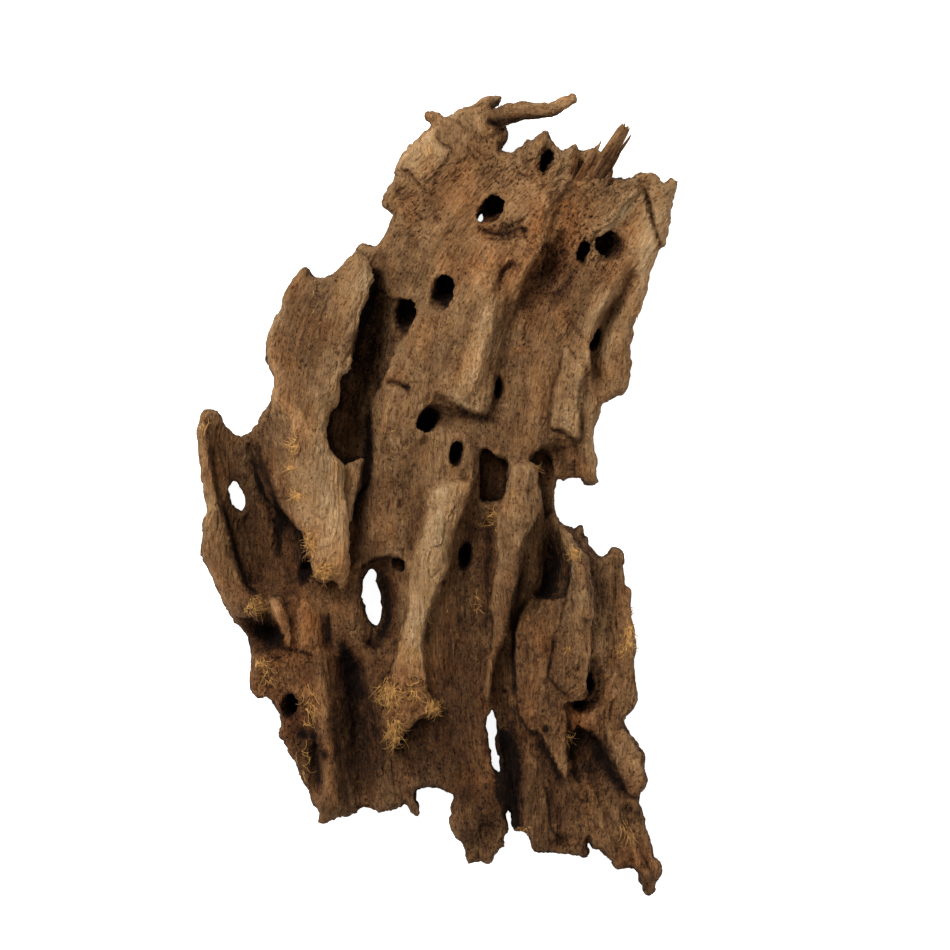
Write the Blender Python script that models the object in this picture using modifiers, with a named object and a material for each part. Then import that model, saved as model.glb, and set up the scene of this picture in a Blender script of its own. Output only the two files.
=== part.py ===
"""Dragon wood: a weathered root plate, bored by insects and split by decay, lying on its back.

Seen from above, +X runs to the right of the piece, +Y to its branch end, and +Z is up. The plan is in
millimetres on the real piece, and LENGTH scales it.
"""

import math

import bmesh
import bpy
import numpy as np
from mathutils import Matrix, Vector

LENGTH = 0.4015          # from the lowest tip to the end of the top branch, metres
PLAN_LENGTH = 401.5      # the same length in the plan's own millimetres
MM = LENGTH / PLAN_LENGTH
VOXEL = 1.6 * MM         # the grain of the carved skin
FACETS = 8400            # triangles of the whole skin
KERF = 0.5               # gap between two pieces at a fork, across the piece
SHEET = 12.0             # thickness of a flat sheet before it is shaped

# The outer edge from above, clockwise from the notch at the upper left.
TOP_EDGE = [
    (-22, 139), (-22, 142), (-27, 147), (-24, 154), (-20, 160), (-21, 163), (-18, 170), (-12, 176),
    (-6, 182), (-1, 186), (-4, 188), (-6, 191), (-5, 192.8), (0, 192), (4, 190), (8, 191), (12, 193.5),
    (17, 195.5), (21, 197.5), (24, 199.6), (29, 200.2), (32.5, 200.4), (31.5, 197.5), (29, 195),
    (31, 190), (35.5, 185), (35, 180), (31, 174.5), (33, 172.7), (38, 172.3), (41, 174), (46, 178.5),
    (49, 177.7), (51.5, 181), (55, 183), (57, 180.5), (58, 177), (61, 175), (63.5, 171.5), (66, 174),
    (70, 176.3), (72.5, 172.7), (80, 174), (83, 170), (85, 165), (83, 160.5), (85, 158.5), (89, 159.7),
    (92, 158.8), (97, 158.5), (100, 160.5), (104, 161.6), (109, 161), (112, 158), (114.5, 155.8),
    (117.5, 158.6), (120, 157),
]
RIGHT_EDGE = [
    (119, 150), (117.5, 142), (116.5, 135), (115.2, 130), (115, 125.5), (112, 125), (110.5, 121),
    (107, 112), (105, 103), (103, 97), (102, 92), (100, 88), (98, 82), (97, 74), (97, 65), (97, 58),
    (96, 55), (93.5, 51), (90, 50), (86, 48), (82.5, 46), (81, 41), (79.5, 35), (78.5, 28), (79, 22),
    (80, 18), (80.3, 10), (81.5, 7.3), (76, 5.5), (74, 6.5), (72.5, 9), (69, 9.2), (65.5, 9), (63.5, 7.3),
    (62, 9.3), (60.5, 9.3), (60, 5), (58.7, 2), (59, -4), (60, -9), (62, -13), (66, -16), (68, -16),
    (69, -17.7), (72, -15), (73.2, -15.5), (73, -21.5), (75, -20), (76.5, -22), (77, -26), (80, -30),
    (83, -31), (85, -30), (88, -27), (89, -25.5), (91, -27), (93, -27.5), (94, -30), (93.5, -36),
    (94.5, -42), (95, -46), (97, -46.5), (97, -52), (97.5, -60), (99, -70), (99.5, -80), (100, -90),
    (100.7, -98), (100.5, -103), (98, -108), (95, -111), (94, -115), (96, -119), (100, -123.5),
    (103, -129), (104.5, -137), (105, -143), (103, -147), (101.5, -150), (102, -155), (104, -161),
    (105.5, -168), (108, -176), (110, -181), (113.5, -185), (113, -189), (110.5, -194), (109, -199),
]
BOTTOM_EDGE = [
    (105.5, -200.7), (103.5, -197), (101.5, -190), (99.5, -187.5), (96.5, -186.5), (94, -187), (92, -188),
    (90, -187), (88.5, -183.5), (85, -180), (82, -177), (80, -177.5), (78, -174.5), (76, -173),
    (75.5, -177), (77, -178.5), (75, -180.5), (70, -180), (60, -178.5), (50, -178), (48, -174),
    (46, -170), (43, -168), (39.5, -166.5), (38, -161), (36.5, -157), (34, -160), (35.5, -165),
    (36, -168), (34.5, -170), (34, -176), (32.5, -176), (31, -179), (28.5, -178.8), (28, -182),
    (26.5, -184), (24, -184), (20, -183), (16, -184.5), (15.5, -180), (14, -175.5), (10, -170.5),
    (6.5, -165), (7.5, -161), (8.5, -159), (7.8, -156), (9, -151), (6, -149), (2, -147), (-4, -146),
    (-10.3, -148), (-10, -153), (-8.3, -158), (-9, -161), (-10.5, -161), (-13, -157), (-15.5, -153.5),
    (-18, -156.5), (-21, -156.3), (-24, -157.5), (-28, -159), (-29.5, -157.7), (-36, -157.5),
    (-41, -159.5), (-47, -160.5), (-51, -162), (-55, -163.2), (-59.5, -164.3),
]
LEFT_EDGE = [
    (-57.5, -161), (-58, -159), (-60, -156), (-63, -150), (-66, -144), (-70, -136), (-74, -130),
    (-75.5, -125), (-78.5, -120), (-77.5, -117), (-77.5, -111), (-80, -105.5), (-84, -101.5),
    (-87, -100.5), (-89, -102), (-91, -100), (-93, -95), (-93.2, -88), (-92.8, -82), (-93, -76),
    (-94.5, -71), (-97.5, -67), (-100, -64), (-103, -60), (-107, -53), (-110, -46.5), (-114, -39),
    (-117, -32), (-117.5, -27), (-116.5, -20), (-115.5, -11), (-114, -7), (-115, -3), (-117, 4),
    (-117.5, 14), (-118.5, 22), (-120.2, 30), (-119.5, 37), (-118, 41), (-116, 43.8), (-112, 42.8),
    (-110, 42.3), (-107, 38), (-105, 34), (-103.5, 33.8), (-101, 31.2), (-98, 30.4), (-95, 31),
    (-91, 34.5), (-87, 40), (-83.5, 47), (-81.5, 53), (-81, 58), (-82, 62), (-83.5, 65.5), (-86, 67.5),
    (-85.5, 74), (-85, 76.5), (-83, 79), (-82.5, 84), (-81, 88), (-79, 89.3), (-77, 94), (-76, 100),
    (-74.5, 103), (-71, 108), (-68, 112), (-64.5, 114.4), (-63.3, 110.5), (-60.5, 108.7), (-57, 108),
    (-53, 109), (-50, 111), (-46.5, 115), (-42.5, 119), (-41.5, 121.5), (-38.5, 126), (-37, 126.6),
    (-35, 125.5), (-31, 125), (-28, 126.5), (-25, 130), (-23, 135),
]
OUTLINE = TOP_EDGE + RIGHT_EDGE + BOTTOM_EDGE + LEFT_EDGE

# Openings that decay has eaten right through.
EAR_WINDOW = [
    (-102.5, 8.5), (-99.5, 5), (-97, -0.5), (-97, -7), (-98.5, -8.5), (-103, -4), (-104.5, 1),
    (-104.5, 5.5),
]
LONG_WINDOW = [
    (-33, -36.3), (-29.3, -39.5), (-30, -43), (-28.3, -49), (-27.5, -58), (-28.5, -64), (-31, -66.5),
    (-34.5, -63), (-36, -56), (-37.8, -50), (-37, -41),
]
LEG_SLIT = [
    (27.6, -105), (30, -110), (31, -116), (30.2, -121), (31.5, -128), (32.8, -134), (32, -141),
    (29, -137), (26.5, -129), (25.6, -121), (24.7, -113),
]

# The left plate and its tongue, a sheet that overhangs a dark cavity.
LEFT_PLATE = [
    (-64.5, 114.4), (-63.3, 110.5), (-60.5, 108.7), (-57, 108), (-53, 109), (-50, 111), (-46.5, 115),
    (-42.5, 119), (-38, 122), (-33.5, 115.5), (-32, 110), (-33.5, 100), (-36, 94), (-38, 86), (-40, 76),
    (-41.5, 68), (-43, 62), (-47, 59), (-48.3, 48), (-52, 42), (-54.4, 36), (-54.4, 29), (-52, 21),
    (-46.4, 16), (-46, 5), (-44.3, -9), (-42.8, -23), (-43, -35), (-44, -44), (-47, -48.5), (-50, -42),
    (-57, -43), (-61, -39), (-62, -33), (-64, -30), (-66, -20), (-72, -12), (-79, -4), (-82, 4),
    (-82.5, 14), (-83, 26), (-83, 38), (-82, 50), (-80.5, 58), (-83, 66), (-84.5, 76), (-81, 87),
    (-77, 93), (-75, 102), (-70, 109),
]
# A terrace to the left of the tongue, above the hollow of the ear.
TERRACE = [
    (-80, 62), (-84, 52), (-88, 42), (-92, 33), (-91.5, 24), (-90, 12), (-87, 2), (-82, -5), (-77, -10),
    (-70, -8), (-62, 0), (-62, 55),
]
# A small side plate that points right across the cavity.
SIDE_PLATE = [
    (-45.8, 15.3), (-39.5, 17.6), (-35.6, 19.1), (-35.9, 17), (-37.8, 6.1), (-39.5, -0.3), (-41.1, -6.6),
    (-42.1, -13), (-50, -13), (-60, 0), (-60, 14),
]

CENTRE_PLATE = [
    (-10, 90), (-14, 78.5), (-19.5, 70), (-25, 60), (-27, 48), (-28, 30), (-28, 4), (-12, 2), (-6, 14),
    (-8, 26), (-4, 34), (2, 46), (7, 44), (13, 41), (20, 40), (26, 42), (28, 50), (30, 62), (33, 78),
    (34, 92), (36, 102), (30, 110), (16, 116), (10, 104), (-2, 92),
]
# The dark hollow between the left plate and the trunk's face, whose right side is a crisp edge.
HOLLOW = [
    (-27, 112), (-26, 104), (-22, 99), (-13, 98), (-11.5, 90), (-12.5, 84), (-18, 75), (-25, 62),
    (-29, 54), (-32, 46), (-32.5, 36), (-32, 20), (-34, 6), (-42, 4), (-52, 15), (-58, 30), (-56, 44),
    (-52, 56), (-46, 70), (-42, 86), (-37, 104), (-32, 112),
]
# A smooth facet at the top left.
FACET = [
    (-20, 168), (-12, 176), (0, 185), (2, 178), (8, 173.5), (3, 166), (-2, 160), (-7, 155), (-12, 161),
    (-18, 165),
]
# A small scoop with an arched top, on the flank of the upper crest.
SCOOP = [
    (29.5, 98), (29.5, 106), (32, 111.5), (35.5, 116), (39, 117), (42, 114.5), (41, 110), (37, 104),
    (34, 97),
]
# The two middle ridges, and the pockets at the top of the second.
MIDDLE_RIDGE = [
    (6.5, 7.2), (0.4, 4.1), (-3.9, -0.8), (-4.5, -4.5), (-2.7, -6.3), (-5.1, -12.4), (-6.4, -21),
    (-8.8, -24.7), (-11.3, -29.6), (-12.5, -38.1), (-13.7, -45.5), (-13.7, -56.5), (-16.2, -65),
    (-18, -73.6), (-21, -84), (-24, -95), (-26, -112), (-21, -127), (-16, -119), (-8, -111), (-2, -109),
    (3, -108), (-4, -98), (-5.8, -84), (-6.4, -73.6), (-5.1, -66.3), (-3.3, -57.7), (-0.9, -51.6),
    (2.2, -46.7), (4.7, -40.6), (7.1, -33.2), (8.3, -24.7), (8.9, -17.3), (12, -11.2), (14.5, -5.1),
    (18.1, 2.3), (18.7, 7.8),
]
RIGHT_RIDGE = [
    (38.3, 15.8), (43.2, 17), (48.7, 15.8), (50.6, 12.1), (50.6, 6), (52.8, 0.4), (52.4, -6.3),
    (50.6, -11.2), (47.5, -16.1), (43.8, -21), (43.2, -29.6), (42.6, -38.1), (40.8, -45.5), (39.6, -52.8),
    (37.7, -57.7), (35.9, -65.1), (34, -72.4), (31.6, -78.5), (29.8, -84.7), (28, -92), (27, -104),
    (24, -100), (24.5, -92), (25.5, -84.7), (27.9, -78.5), (29.1, -70), (29.1, -62.6), (27.3, -56.5),
    (28.5, -47.9), (29.1, -41.8), (31, -35.7), (31.6, -27.1), (30.7, -21), (31, -14.9), (31.6, -7.5),
    (33.4, -0.2), (35.9, 4.7), (37.1, 8.4),
]
SQUARE_POCKET = [
    (21.7, 20), (23, 23.6), (26, 23.6), (28.5, 21), (30.5, 19), (33, 19.5), (35.5, 18.5), (36.6, 15),
    (36.4, 8), (35.2, 2), (33, -2), (28, -3.5), (24, -3), (21.4, -1), (21.5, 8),
]
ARCHED_POCKET = [
    (46.5, 17.5), (49, 21), (52.5, 23.2), (55.5, 22), (58.5, 18.5), (59.5, 12), (59, -8), (55, -12),
    (53, -4), (52, 6), (51, 15),
]
# The rim of the ear, a short bar below it, the torn strip at the right, and the recess at the fork.
EAR_RIM = [
    (-122, 50), (-116, 44), (-113.6, 30), (-112.9, 22), (-112.2, 13.8), (-109, -0.3), (-105.1, -10.5),
    (-103.2, -19.4), (-101.3, -30.9), (-98.8, -38.5), (-93.7, -47.5), (-86, -51.3), (-89.2, -61.5),
    (-98, -60), (-112, -40), (-124, -20), (-126, 20),
]
BAR = [
    (-82.5, -52), (-78.5, -50.5), (-75, -58), (-72.3, -66), (-71.5, -75), (-74, -76), (-76.5, -70),
    (-79, -62),
]
STRIP = [
    (63.5, 74.3), (62.2, 63.7), (59.5, 53.1), (58.2, 45.2), (56.9, 35.9), (58.9, 32.6), (63.5, 33.9),
    (66.8, 31.9), (70.1, 27.9), (72.1, 29.2), (71.5, 38.5), (70.8, 45.2), (70.8, 53.1), (72.8, 58.4),
    (76.8, 63.7), (76.8, 71.7), (74.1, 74.3), (69, 77),
]
FORK_RECESS = [
    (29, -76), (38, -74), (40, -84), (40, -98), (34, -104), (29, -96), (27.5, -86),
]
# The sheet of the lower right leg, which ends in a splinter.
LEG_PLATE = [
    (61.5, -14), (63.4, -21), (65.3, -25.9), (66.5, -30.8), (67.7, -36.9), (66.5, -45.5), (65.3, -50.4),
    (57.9, -52.2), (50.6, -51.6), (47.5, -50.4), (44.5, -55.3), (42, -60.2), (40.8, -65), (39.6, -70),
    (40.2, -76.1), (39.6, -82.2), (40.5, -92), (41.4, -101), (42.6, -109.6), (47.5, -116.9),
    (52.4, -118.7), (56.7, -126.7), (61, -135.3), (65.3, -142.6), (65.9, -135.3), (64.7, -125.5),
    (64.7, -118.1), (65.3, -110.8), (65, -104), (69, -102.5), (73.2, -102.2), (75.1, -97.3),
    (76.3, -92.4), (76.9, -82.6), (78.1, -64.2), (78.1, -50.4), (76.9, -40.6), (76.3, -30.8),
    (72.6, -27.1), (67.7, -21), (64.5, -14),
]

# The knob on the right of the leg, and the arched hollow beside it.
KNOB = [
    (94, -115), (99, -119), (103, -127), (106, -136), (106, -144), (102, -150.5), (97, -148.5),
    (93.5, -142), (90.5, -134), (89, -126), (90, -118),
]
ARCHED_HOLLOW = [
    (66, -126), (67, -119), (71, -116), (76, -117.5), (80.5, -121.5), (84.5, -128), (88, -137),
    (93, -146), (100, -151), (98, -158), (86, -152), (76, -152), (69, -142),
]

# A shard that lies over the upper right edge, split off along a crack.
SLIVER = [
    (104.5, 158), (104.5, 153), (106, 150), (107.5, 145), (108.5, 140), (110.5, 136), (111.3, 130),
    (112, 124.5), (116, 124), (118, 135), (121, 150), (122, 158), (112, 164), (104, 163),
]

# Crests of the upper face: points of (x, y, height), and the half widths to the left and right of it.
CRESTS = [
    ([(58, 156, 2), (54, 140, 8), (53, 125, 9), (49, 114, 9), (41, 102, 5), (35, 92, 2)], 2.6, 20),
    ([(28, 102, 2), (24, 85, 5), (22, 70, 6), (18, 57, 5), (10, 45, 3)], 4, 9),
    ([(98, 118, 3), (92, 112, 5), (78, 92, 8), (76, 70, 9), (71, 50, 9), (70, 32, 8)], 6, 9),
    ([(79, 45, 2), (78, 28, 7), (79, 10, 4)], 4, 5),
    ([(62, 96, 2), (63, 84, 4), (64, 70, 3), (62, 50, 2), (59, 36, 2)], 4, 4),
    ([(68.8, 76, 1), (68.8, 72.3, 2), (68.8, 69, 1)], 3, 3),
    ([(43, 12, 3), (42, -12, 4), (38, -40, 4), (32, -70, 3)], 5, 5),
    ([(-98, 26, 2), (-95, 12, 4), (-91, 2, 4), (-86, -10, 3), (-84, -30, 2)], 2.5, 2.5),
    ([(-116, 38, 4), (-115, 20, 6), (-111, 0, 6), (-109, -20, 6), (-104, -38, 6), (-93, -52, 4)], 6, 8),
    ([(-81, -53, 5), (-77, -66, 5), (-73, -77, 3)], 3.5, 3.5),
    ([(-65, -50, 6), (-65, -64, 6), (-66, -78, 5)], 6, 7),
    ([(17.5, 30, 1), (17.6, 18, 3), (18, 8, 4)], 1.6, 1.6),
    ([(-86, -84, 7), (-76, -86, 8), (-66, -98, 5)], 6, 8),
    ([(-57, -84, 7), (-56, -110, 9), (-53, -132, 8), (-52, -154, 4)], 4, 5),
    ([(-44, -38, 2), (-38, -34, 4), (-28, -29, 6), (-19, -29, 5), (-13, -36, 3)], 3, 4),
    ([(61, -4, 3), (62, -16, 9), (68, -28, 13), (73, -42, 12), (76, -58, 8)], 5, 5),
    ([(46, 160, 1), (50, 168, 5), (54, 176, 7), (55, 183, 5)], 4, 3),
    ([(59, 158, 3), (61, 166, 6), (61, 174, 4)], 3, 2),
    ([(64, 156, 2), (66, 166, 6), (69, 175, 4)], 4, 4),
    ([(72, 156, 3), (77, 164, 5), (82, 170, 4)], 4, 4),
    ([(74, 130, 3), (84, 138, 5), (94, 148, 5), (104, 158, 3)], 6, 5),
    ([(50, -134, 1), (55, -152, 4), (59, -168, 3)], 2, 4),
    ([(70, -132, 1), (78, -150, 4), (84, -167, 4), (88, -180, 2)], 2, 5),
    ([(90, -158, 2), (98, -173, 5), (104, -190, 4)], 3, 4),
    ([(-20, 55, 1.5), (-23, 47, 2), (-26, 38, 2), (-28, 28, 1)], 1.5, 1.5),
    ([(-99, 10, 2), (-94.5, 3, 3), (-94, -3, 3), (-95, -8, 3), (-99, -11, 2)], 1.5, 1.5),
]
# Grooves and hollows of the upper face, in the same terms, with depths for heights.
GROOVES = [
    ([(97, 108, 4), (88, 92, 8), (82, 80, 8), (80, 62, 5), (84, 54, 2)], 4, 4),
    ([(66, 150, 2), (63, 132, 7), (57, 114, 8), (49, 98, 4)], 9, 6),
    ([(70, 78, 2), (69, 72, 4), (68, 66, 0)], 4, 4),
    ([(66, 24, 5), (61, 20, 9), (64, 12, 8)], 5, 6),
    ([(22, 4, 2), (22, -20, 10), (19, -50, 10), (14, -85, 8), (12, -120, 5), (14, -150, 3)], 12, 13),
    ([(-32, 110, 3), (-33, 96, 12), (-35, 75, 13), (-38, 58, 12)], 8, 9),
    ([(-44, 46, 12), (-43, 30, 15), (-40, 14, 15), (-41, 0, 12), (-40, -20, 8)], 7, 9),
    ([(-35, 38, 6), (-34.5, 22, 14), (-36, 6, 10)], 3, 3),
    ([(-90, 24, 5), (-89, 8, 7), (-83, -6, 8), (-76, -16, 12), (-72, -30, 12), (-70, -40, 6)], 3, 5),
    ([(-103, 26, 4), (-96, 8, 8), (-92, -20, 10), (-86, -42, 8)], 12, 10),
    ([(-94, -66, 15), (-82, -69, 16), (-76, -78, 6)], 7, 7),
    ([(-46, -76, 5), (-42, -88, 17), (-38, -108, 22), (-38, -130, 18), (-36, -156, 14)], 8, 9),
    ([(-60, -126, 8), (-60, -148, 8)], 3.5, 3.5),
    ([(-30, -34, 12), (-27, -50, 17), (-27, -70, 12), (-30, -80, 4)], 9, 8),
    ([(55, -8, 6), (56.5, -20, 12), (57.5, -34, 17), (56, -46, 15), (48, -54, 8), (41, -64, 5)], 6, 5),
    ([(35, -74, 3), (34, -88, 4), (32, -100, 5), (36, -125, 11), (39, -145, 10), (40, -164, 4)], 5, 5),
    ([(80, -86, 3), (81.5, -93, 8), (80, -101, 9), (75, -105.5, 8), (71, -105.5, 3)], 3.4, 3.4),
    ([(104, 155, 6), (105.5, 150, 8), (107, 145, 8), (108, 140, 8), (111, 130, 8), (112, 124, 6)], 1.2, 1),
    ([(71, 160, 5), (72, 168, 8), (72, 174, 6)], 2, 2),
    ([(97, -156, 3), (96, -170, 4), (99, -182, 2)], 2, 2),
    ([(-24, 57.3, 3), (-19, 56.5, 4), (-13.7, 54.2, 4)], 1, 1),
    ([(2, 40, 8), (10, 38, 5), (20, 34, 1)], 5, 5),
]
# Soft rises and dips of the upper face: middle, half sizes, lean and height.
SWELLS = [
    ((20, 60), (60, 90), 0.2, 5), ((45, 140), (70, 45), 0.3, 6), ((-15, 10), (22, 45), 0, 5),
    ((0, 165), (25, 25), 0, 3), ((-17, 152), (6, 6), 0, -4), ((31, 184), (6, 5), 0, -5),
    ((-8, -132), (22, 22), 0, -6), ((54, 168), (5, 8), 0.4, -6), ((60, 143), (5, 10), 0.4, -5),
    ((33, 132), (12, 4), 0.2, -5), ((98, -72), (5, 14), 0, 5), ((66, -160), (22, 22), -0.4, -7),
    ((106, -190), (14, 18), 0, -7), ((27, -170), (7, 8), 0, -9), ((64, -174), (8, 4), 0, -5),
]
# Raised sheets of the upper face, and sunk ones: outline, rise, softness of the step, crown.
RAISED = [
    (FACET, 2.6, 0.8, 2), (MIDDLE_RIDGE, 10, 1.5, 2), (RIGHT_RIDGE, 11, 1.2, 2), (TERRACE, 8, 2, 3),
    (LEG_PLATE, 8, 1.1, 3), (EAR_RIM, 7, 1.5, 3), (STRIP, 3, 0.8, 2), (BAR, 7, 1, 2), (SLIVER, 4, 1.2, 2),
    (KNOB, 4.5, 1.2, 2), (HOLLOW, -7, 1.4, 0), (SQUARE_POCKET, -17, 1.1, 0), (ARCHED_POCKET, -12, 1.4, 0),
    (FORK_RECESS, -3, 1.5, 0),
]

# The spine of the left plate, as points of (x, y, height), and the limbs, as points of (x, y, z, radius).
PLATE_SPINE = [(-82, 60, 3), (-76, 46, 7), (-67, 33, 9), (-61, 15, 9), (-57, -8, 8), (-51, -32, 5)]
TOP_BRANCH = [
    (22, 183, 30, 6.5), (29, 188, 32, 5.4), (36, 190.6, 33, 5.1), (43, 192.2, 33, 4.6), (50, 192, 33, 4),
    (57, 192.6, 33, 3.5), (62, 194.8, 34, 3.1), (66, 197.2, 34, 2.7), (69.5, 198.8, 35, 2.6),
]
SPLINTER_STUB = [(84, 163, 30, 4), (88, 171, 33, 3.6), (92, 180, 36, 2.8), (94, 183.6, 37, 2)]
LEFT_LUMP = [(-80, 71, 26, 5), (-85, 72, 26, 3.4)]

# Lumps of the underside that are worn flat, as (middle, half sizes).
RESTING_LUMPS = [
    ((-60, 72), (18, 26)), ((72, 112), (22, 26)), ((72, -104), (20, 28)), ((-58, -110), (16, 28)),
    ((14, 162), (20, 20)), ((18, -158), (14, 18)), ((-98, -20), (14, 22)),
]

# The forks: where the lower right leg and the top branch part from the trunk, and the ground beyond each.
LEG_SEAM = [
    (59, -6), (56.5, -13), (54.5, -28), (51.5, -42), (46.5, -52), (42, -60), (38.5, -71), (35.5, -81),
    (32, -91), (29, -101), (28.2, -110), (29, -122), (31, -138), (34, -150), (36.6, -158), (36.8, -168),
]
LEG_BEYOND = [(36.8, -230), (140, -230), (140, -6)]
BRANCH_SEAM = [(37.5, 215), (37.5, 185)]
BRANCH_BEYOND = [(80, 185), (80, 215)]
FLOOR = [(-150, -230), (150, -230), (150, 230), (-150, 230)]

# Worm bores: middle, half width, half length, lean to the right of +Y in degrees, floor height, drift of
# the foot.
BORES = {
    "bore_top_right": ((27.3, 142.7), 6, 8.6, 42, 14, (5, 7)),
    "bore_top_window": ((22.3, 139.8), 1.9, 3.4, 10, -5, (0, 0)),
    "bore_centre_right": ((2.8, 101.5), 6.3, 9.2, 15, 12, (6, 9)),
    "bore_centre_left": ((-16.8, 88.8), 6, 9.8, 17, 12, (5, 8)),
    "bore_edge_small": ((74, 121.5), 3.8, 6.5, 15, 14, (-1, 4)),
    "bore_edge_large": ((88.3, 124.3), 8.4, 7.4, 20, 18, (-9, 5)),
    "bore_right": ((80, 77), 3.6, 6.4, 15, 14, (-3, 5)),
    "bore_ridge": ((31.8, 53.2), 2.7, 5.9, 5, 18, (-2, 3)),
    "bore_slanting": ((-3.2, 38.6), 6, 9, 52, 12, (-7, -4)),
    "bore_low": ((10.8, 20.3), 4.1, 7, 10, 14, (-3, 5)),
    "bore_valley": ((14.6, -32), 3.3, 7.6, 5, 9, (0, 4)),
    "bore_tongue": ((-69, -39), 3.8, 6.6, 10, 11, (4, 2)),
    "bore_lower_left": ((-75, -106), 4.6, 7.2, 25, 12, (6, 4)),
    "bore_leg_upper": ((78, -94.4), 3.1, 6, -5, 14, (-3, 2)),
    "bore_leg_lower": ((73, -106), 4, 3.4, 0, 16, (-2, 3)),
    "bore_brim": ((55.5, 166.3), 3.4, 6.6, 25, 16, (-2, 4)),
    "bore_side": ((-19.5, -35.5), 4.2, 4.6, 0, 21, (2, 2)),
}


def smooth_loop(points, steps=2):
    """A closed Catmull-Rom curve through the points."""
    p = np.array(points, float)
    before, after, last = np.roll(p, 1, 0), np.roll(p, -1, 0), np.roll(p, -2, 0)
    rows = [
        0.5 * (2 * p + (after - before) * t + (2 * before - 5 * p + 4 * after - last) * t**2
               + (3 * p - before - 3 * after + last) * t**3)
        for t in np.arange(steps) / steps
    ]
    return np.stack(rows, 1).reshape(-1, 2)


def inside(x, y, loop, reach=30.0):
    """Signed distance to a closed loop, positive inside it, and no less than -reach outside."""
    loop = np.asarray(loop, float)
    low, high = loop.min(0) - reach, loop.max(0) + reach
    result = np.full(x.shape, -reach)
    near = (x > low[0]) & (x < high[0]) & (y > low[1]) & (y < high[1])
    px, py = x[near], y[near]
    best, within = np.full(px.shape, 1e9), np.zeros(px.shape, bool)
    for a, b in zip(loop, np.roll(loop, -1, 0)):
        dx, dy = b - a
        t = np.clip(((px - a[0]) * dx + (py - a[1]) * dy) / (dx * dx + dy * dy + 1e-12), 0, 1)
        best = np.minimum(best, np.hypot(px - a[0] - t * dx, py - a[1] - t * dy))
        if dy:
            within ^= ((a[1] > py) != (b[1] > py)) & (px < dx * (py - a[1]) / dy + a[0])
    result[near] = np.where(within, best, -np.minimum(best, reach))
    return result


def ease(value, low, high):
    """0 below low, 1 above high, and smooth between."""
    t = np.clip((value - low) / (high - low), 0, 1)
    return t * t * (3 - 2 * t)


def swell(x, y, centre, radii, lean=0.0):
    """A soft round rise of height 1. Its long axis leans by this slope of x over y."""
    u = (x - centre[0] - lean * (y - centre[1])) / radii[0]
    v = (y - centre[1]) / radii[1]
    return np.exp(-(u * u + v * v))


def ridge(x, y, line, left, right):
    """A crest along a line of (x, y, height). Left and right are its half widths, walking along it."""
    best, height = np.full(x.shape, 1e9), np.zeros(x.shape)
    for a, b in zip(line, line[1:]):
        dx, dy = b[0] - a[0], b[1] - a[1]
        t = np.clip(((x - a[0]) * dx + (y - a[1]) * dy) / (dx * dx + dy * dy), 0, 1)
        side = dx * (y - a[1]) - dy * (x - a[0])
        away = np.hypot(x - a[0] - t * dx, y - a[1] - t * dy) / np.where(side > 0, left, right)
        nearer = away < best
        best = np.where(nearer, away, best)
        height = np.where(nearer, a[2] + t * (b[2] - a[2]), height)
    return height * np.exp(-best * best)


def plate(x, y, loop, rise, soft, crown=0.0):
    """A raised sheet: a step as steep as its softness, and a crown towards its middle."""
    depth = inside(x, y, loop)
    return rise * ease(depth, -soft, soft) + crown * ease(depth, 0, 12)


def streaks(x, y, size, seed):
    """Smooth unrepeating furrows that follow the grain, from -1 to 1."""
    across = x - np.where(y > 0, 0.05 * y + 1.2e-5 * np.clip(y, 0, 170)**3, 0.05 * y + 0.0007 * y * y)
    across = across - 0.25 * (y + 90) * ease(x, 30, 60) * ease(-y, 60, 110)
    bend = np.sin(y / (9.1 * size) + seed) + 0.7 * np.sin(y / (5.3 * size) + 2.1 * seed)
    a = np.sin(across / size + 1.3 * bend + seed * 1.7)
    b = np.sin(across / (1.7 * size) - 0.9 * bend + seed * 3.1)
    return 0.5 * (a + b)


def body_top(x, y):
    """Height of the upper face of the trunk and the leg."""
    z = 29 + 1.1 * streaks(x, y, 2.6, 1.0) + 0.8 * streaks(x, y, 6.0, 4.0)
    for middle, radii, lean, height in SWELLS:
        z += height * swell(x, y, middle, radii, lean)
    for line, left, right in CRESTS:
        z += ridge(x, y, line, left, right)
    for line, left, right in GROOVES:
        z -= ridge(x, y, line, left, right)
    for loop, rise, soft, crown in RAISED:
        z += plate(x, y, loop, rise, soft, crown)
    z += plate(x, y, CENTRE_PLATE, 5, 2, 4) * ease(y, 0, 46)
    z -= 4 * plate(x, y, SCOOP, 1, 0.9) * ease(y, 96, 110)
    z -= 10 * plate(x, y, ARCHED_HOLLOW, 1, 1.3) * ease(y, -158, -130)
    z -= 11 * ease(-x, 46, 62) * ease(y, -60, -40) * ease(-y, -110, -60)
    z -= 5 * ease(x, 78, 96) * ease(-y, 30, 50) * ease(y, -125, -105)
    return z


def body_under(x, y):
    """Height of the lower face of the trunk and the leg: weathered and hollow, down on worn lumps."""
    z = 6.5 + 2.2 * np.sin(x / 17 + 0.8) * np.sin(y / 29 - 0.4) + 1.5 * np.sin(x / 9.7 - y / 23)
    z += 4 * swell(x, y, (0, 30), (40, 70)) + 3 * swell(x, y, (0, -80), (25, 50))
    z += 0.8 * streaks(x, y, 4.5, 7.0)
    for centre, radii in RESTING_LUMPS:
        z -= 15 * swell(x, y, centre, radii)
    return z


def new_object(name, mesh, collection, material=None):
    piece = bpy.data.objects.new(name, mesh)
    collection.objects.link(piece)
    if material:
        mesh.materials.clear()
        mesh.materials.append(material)
    return piece


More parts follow.
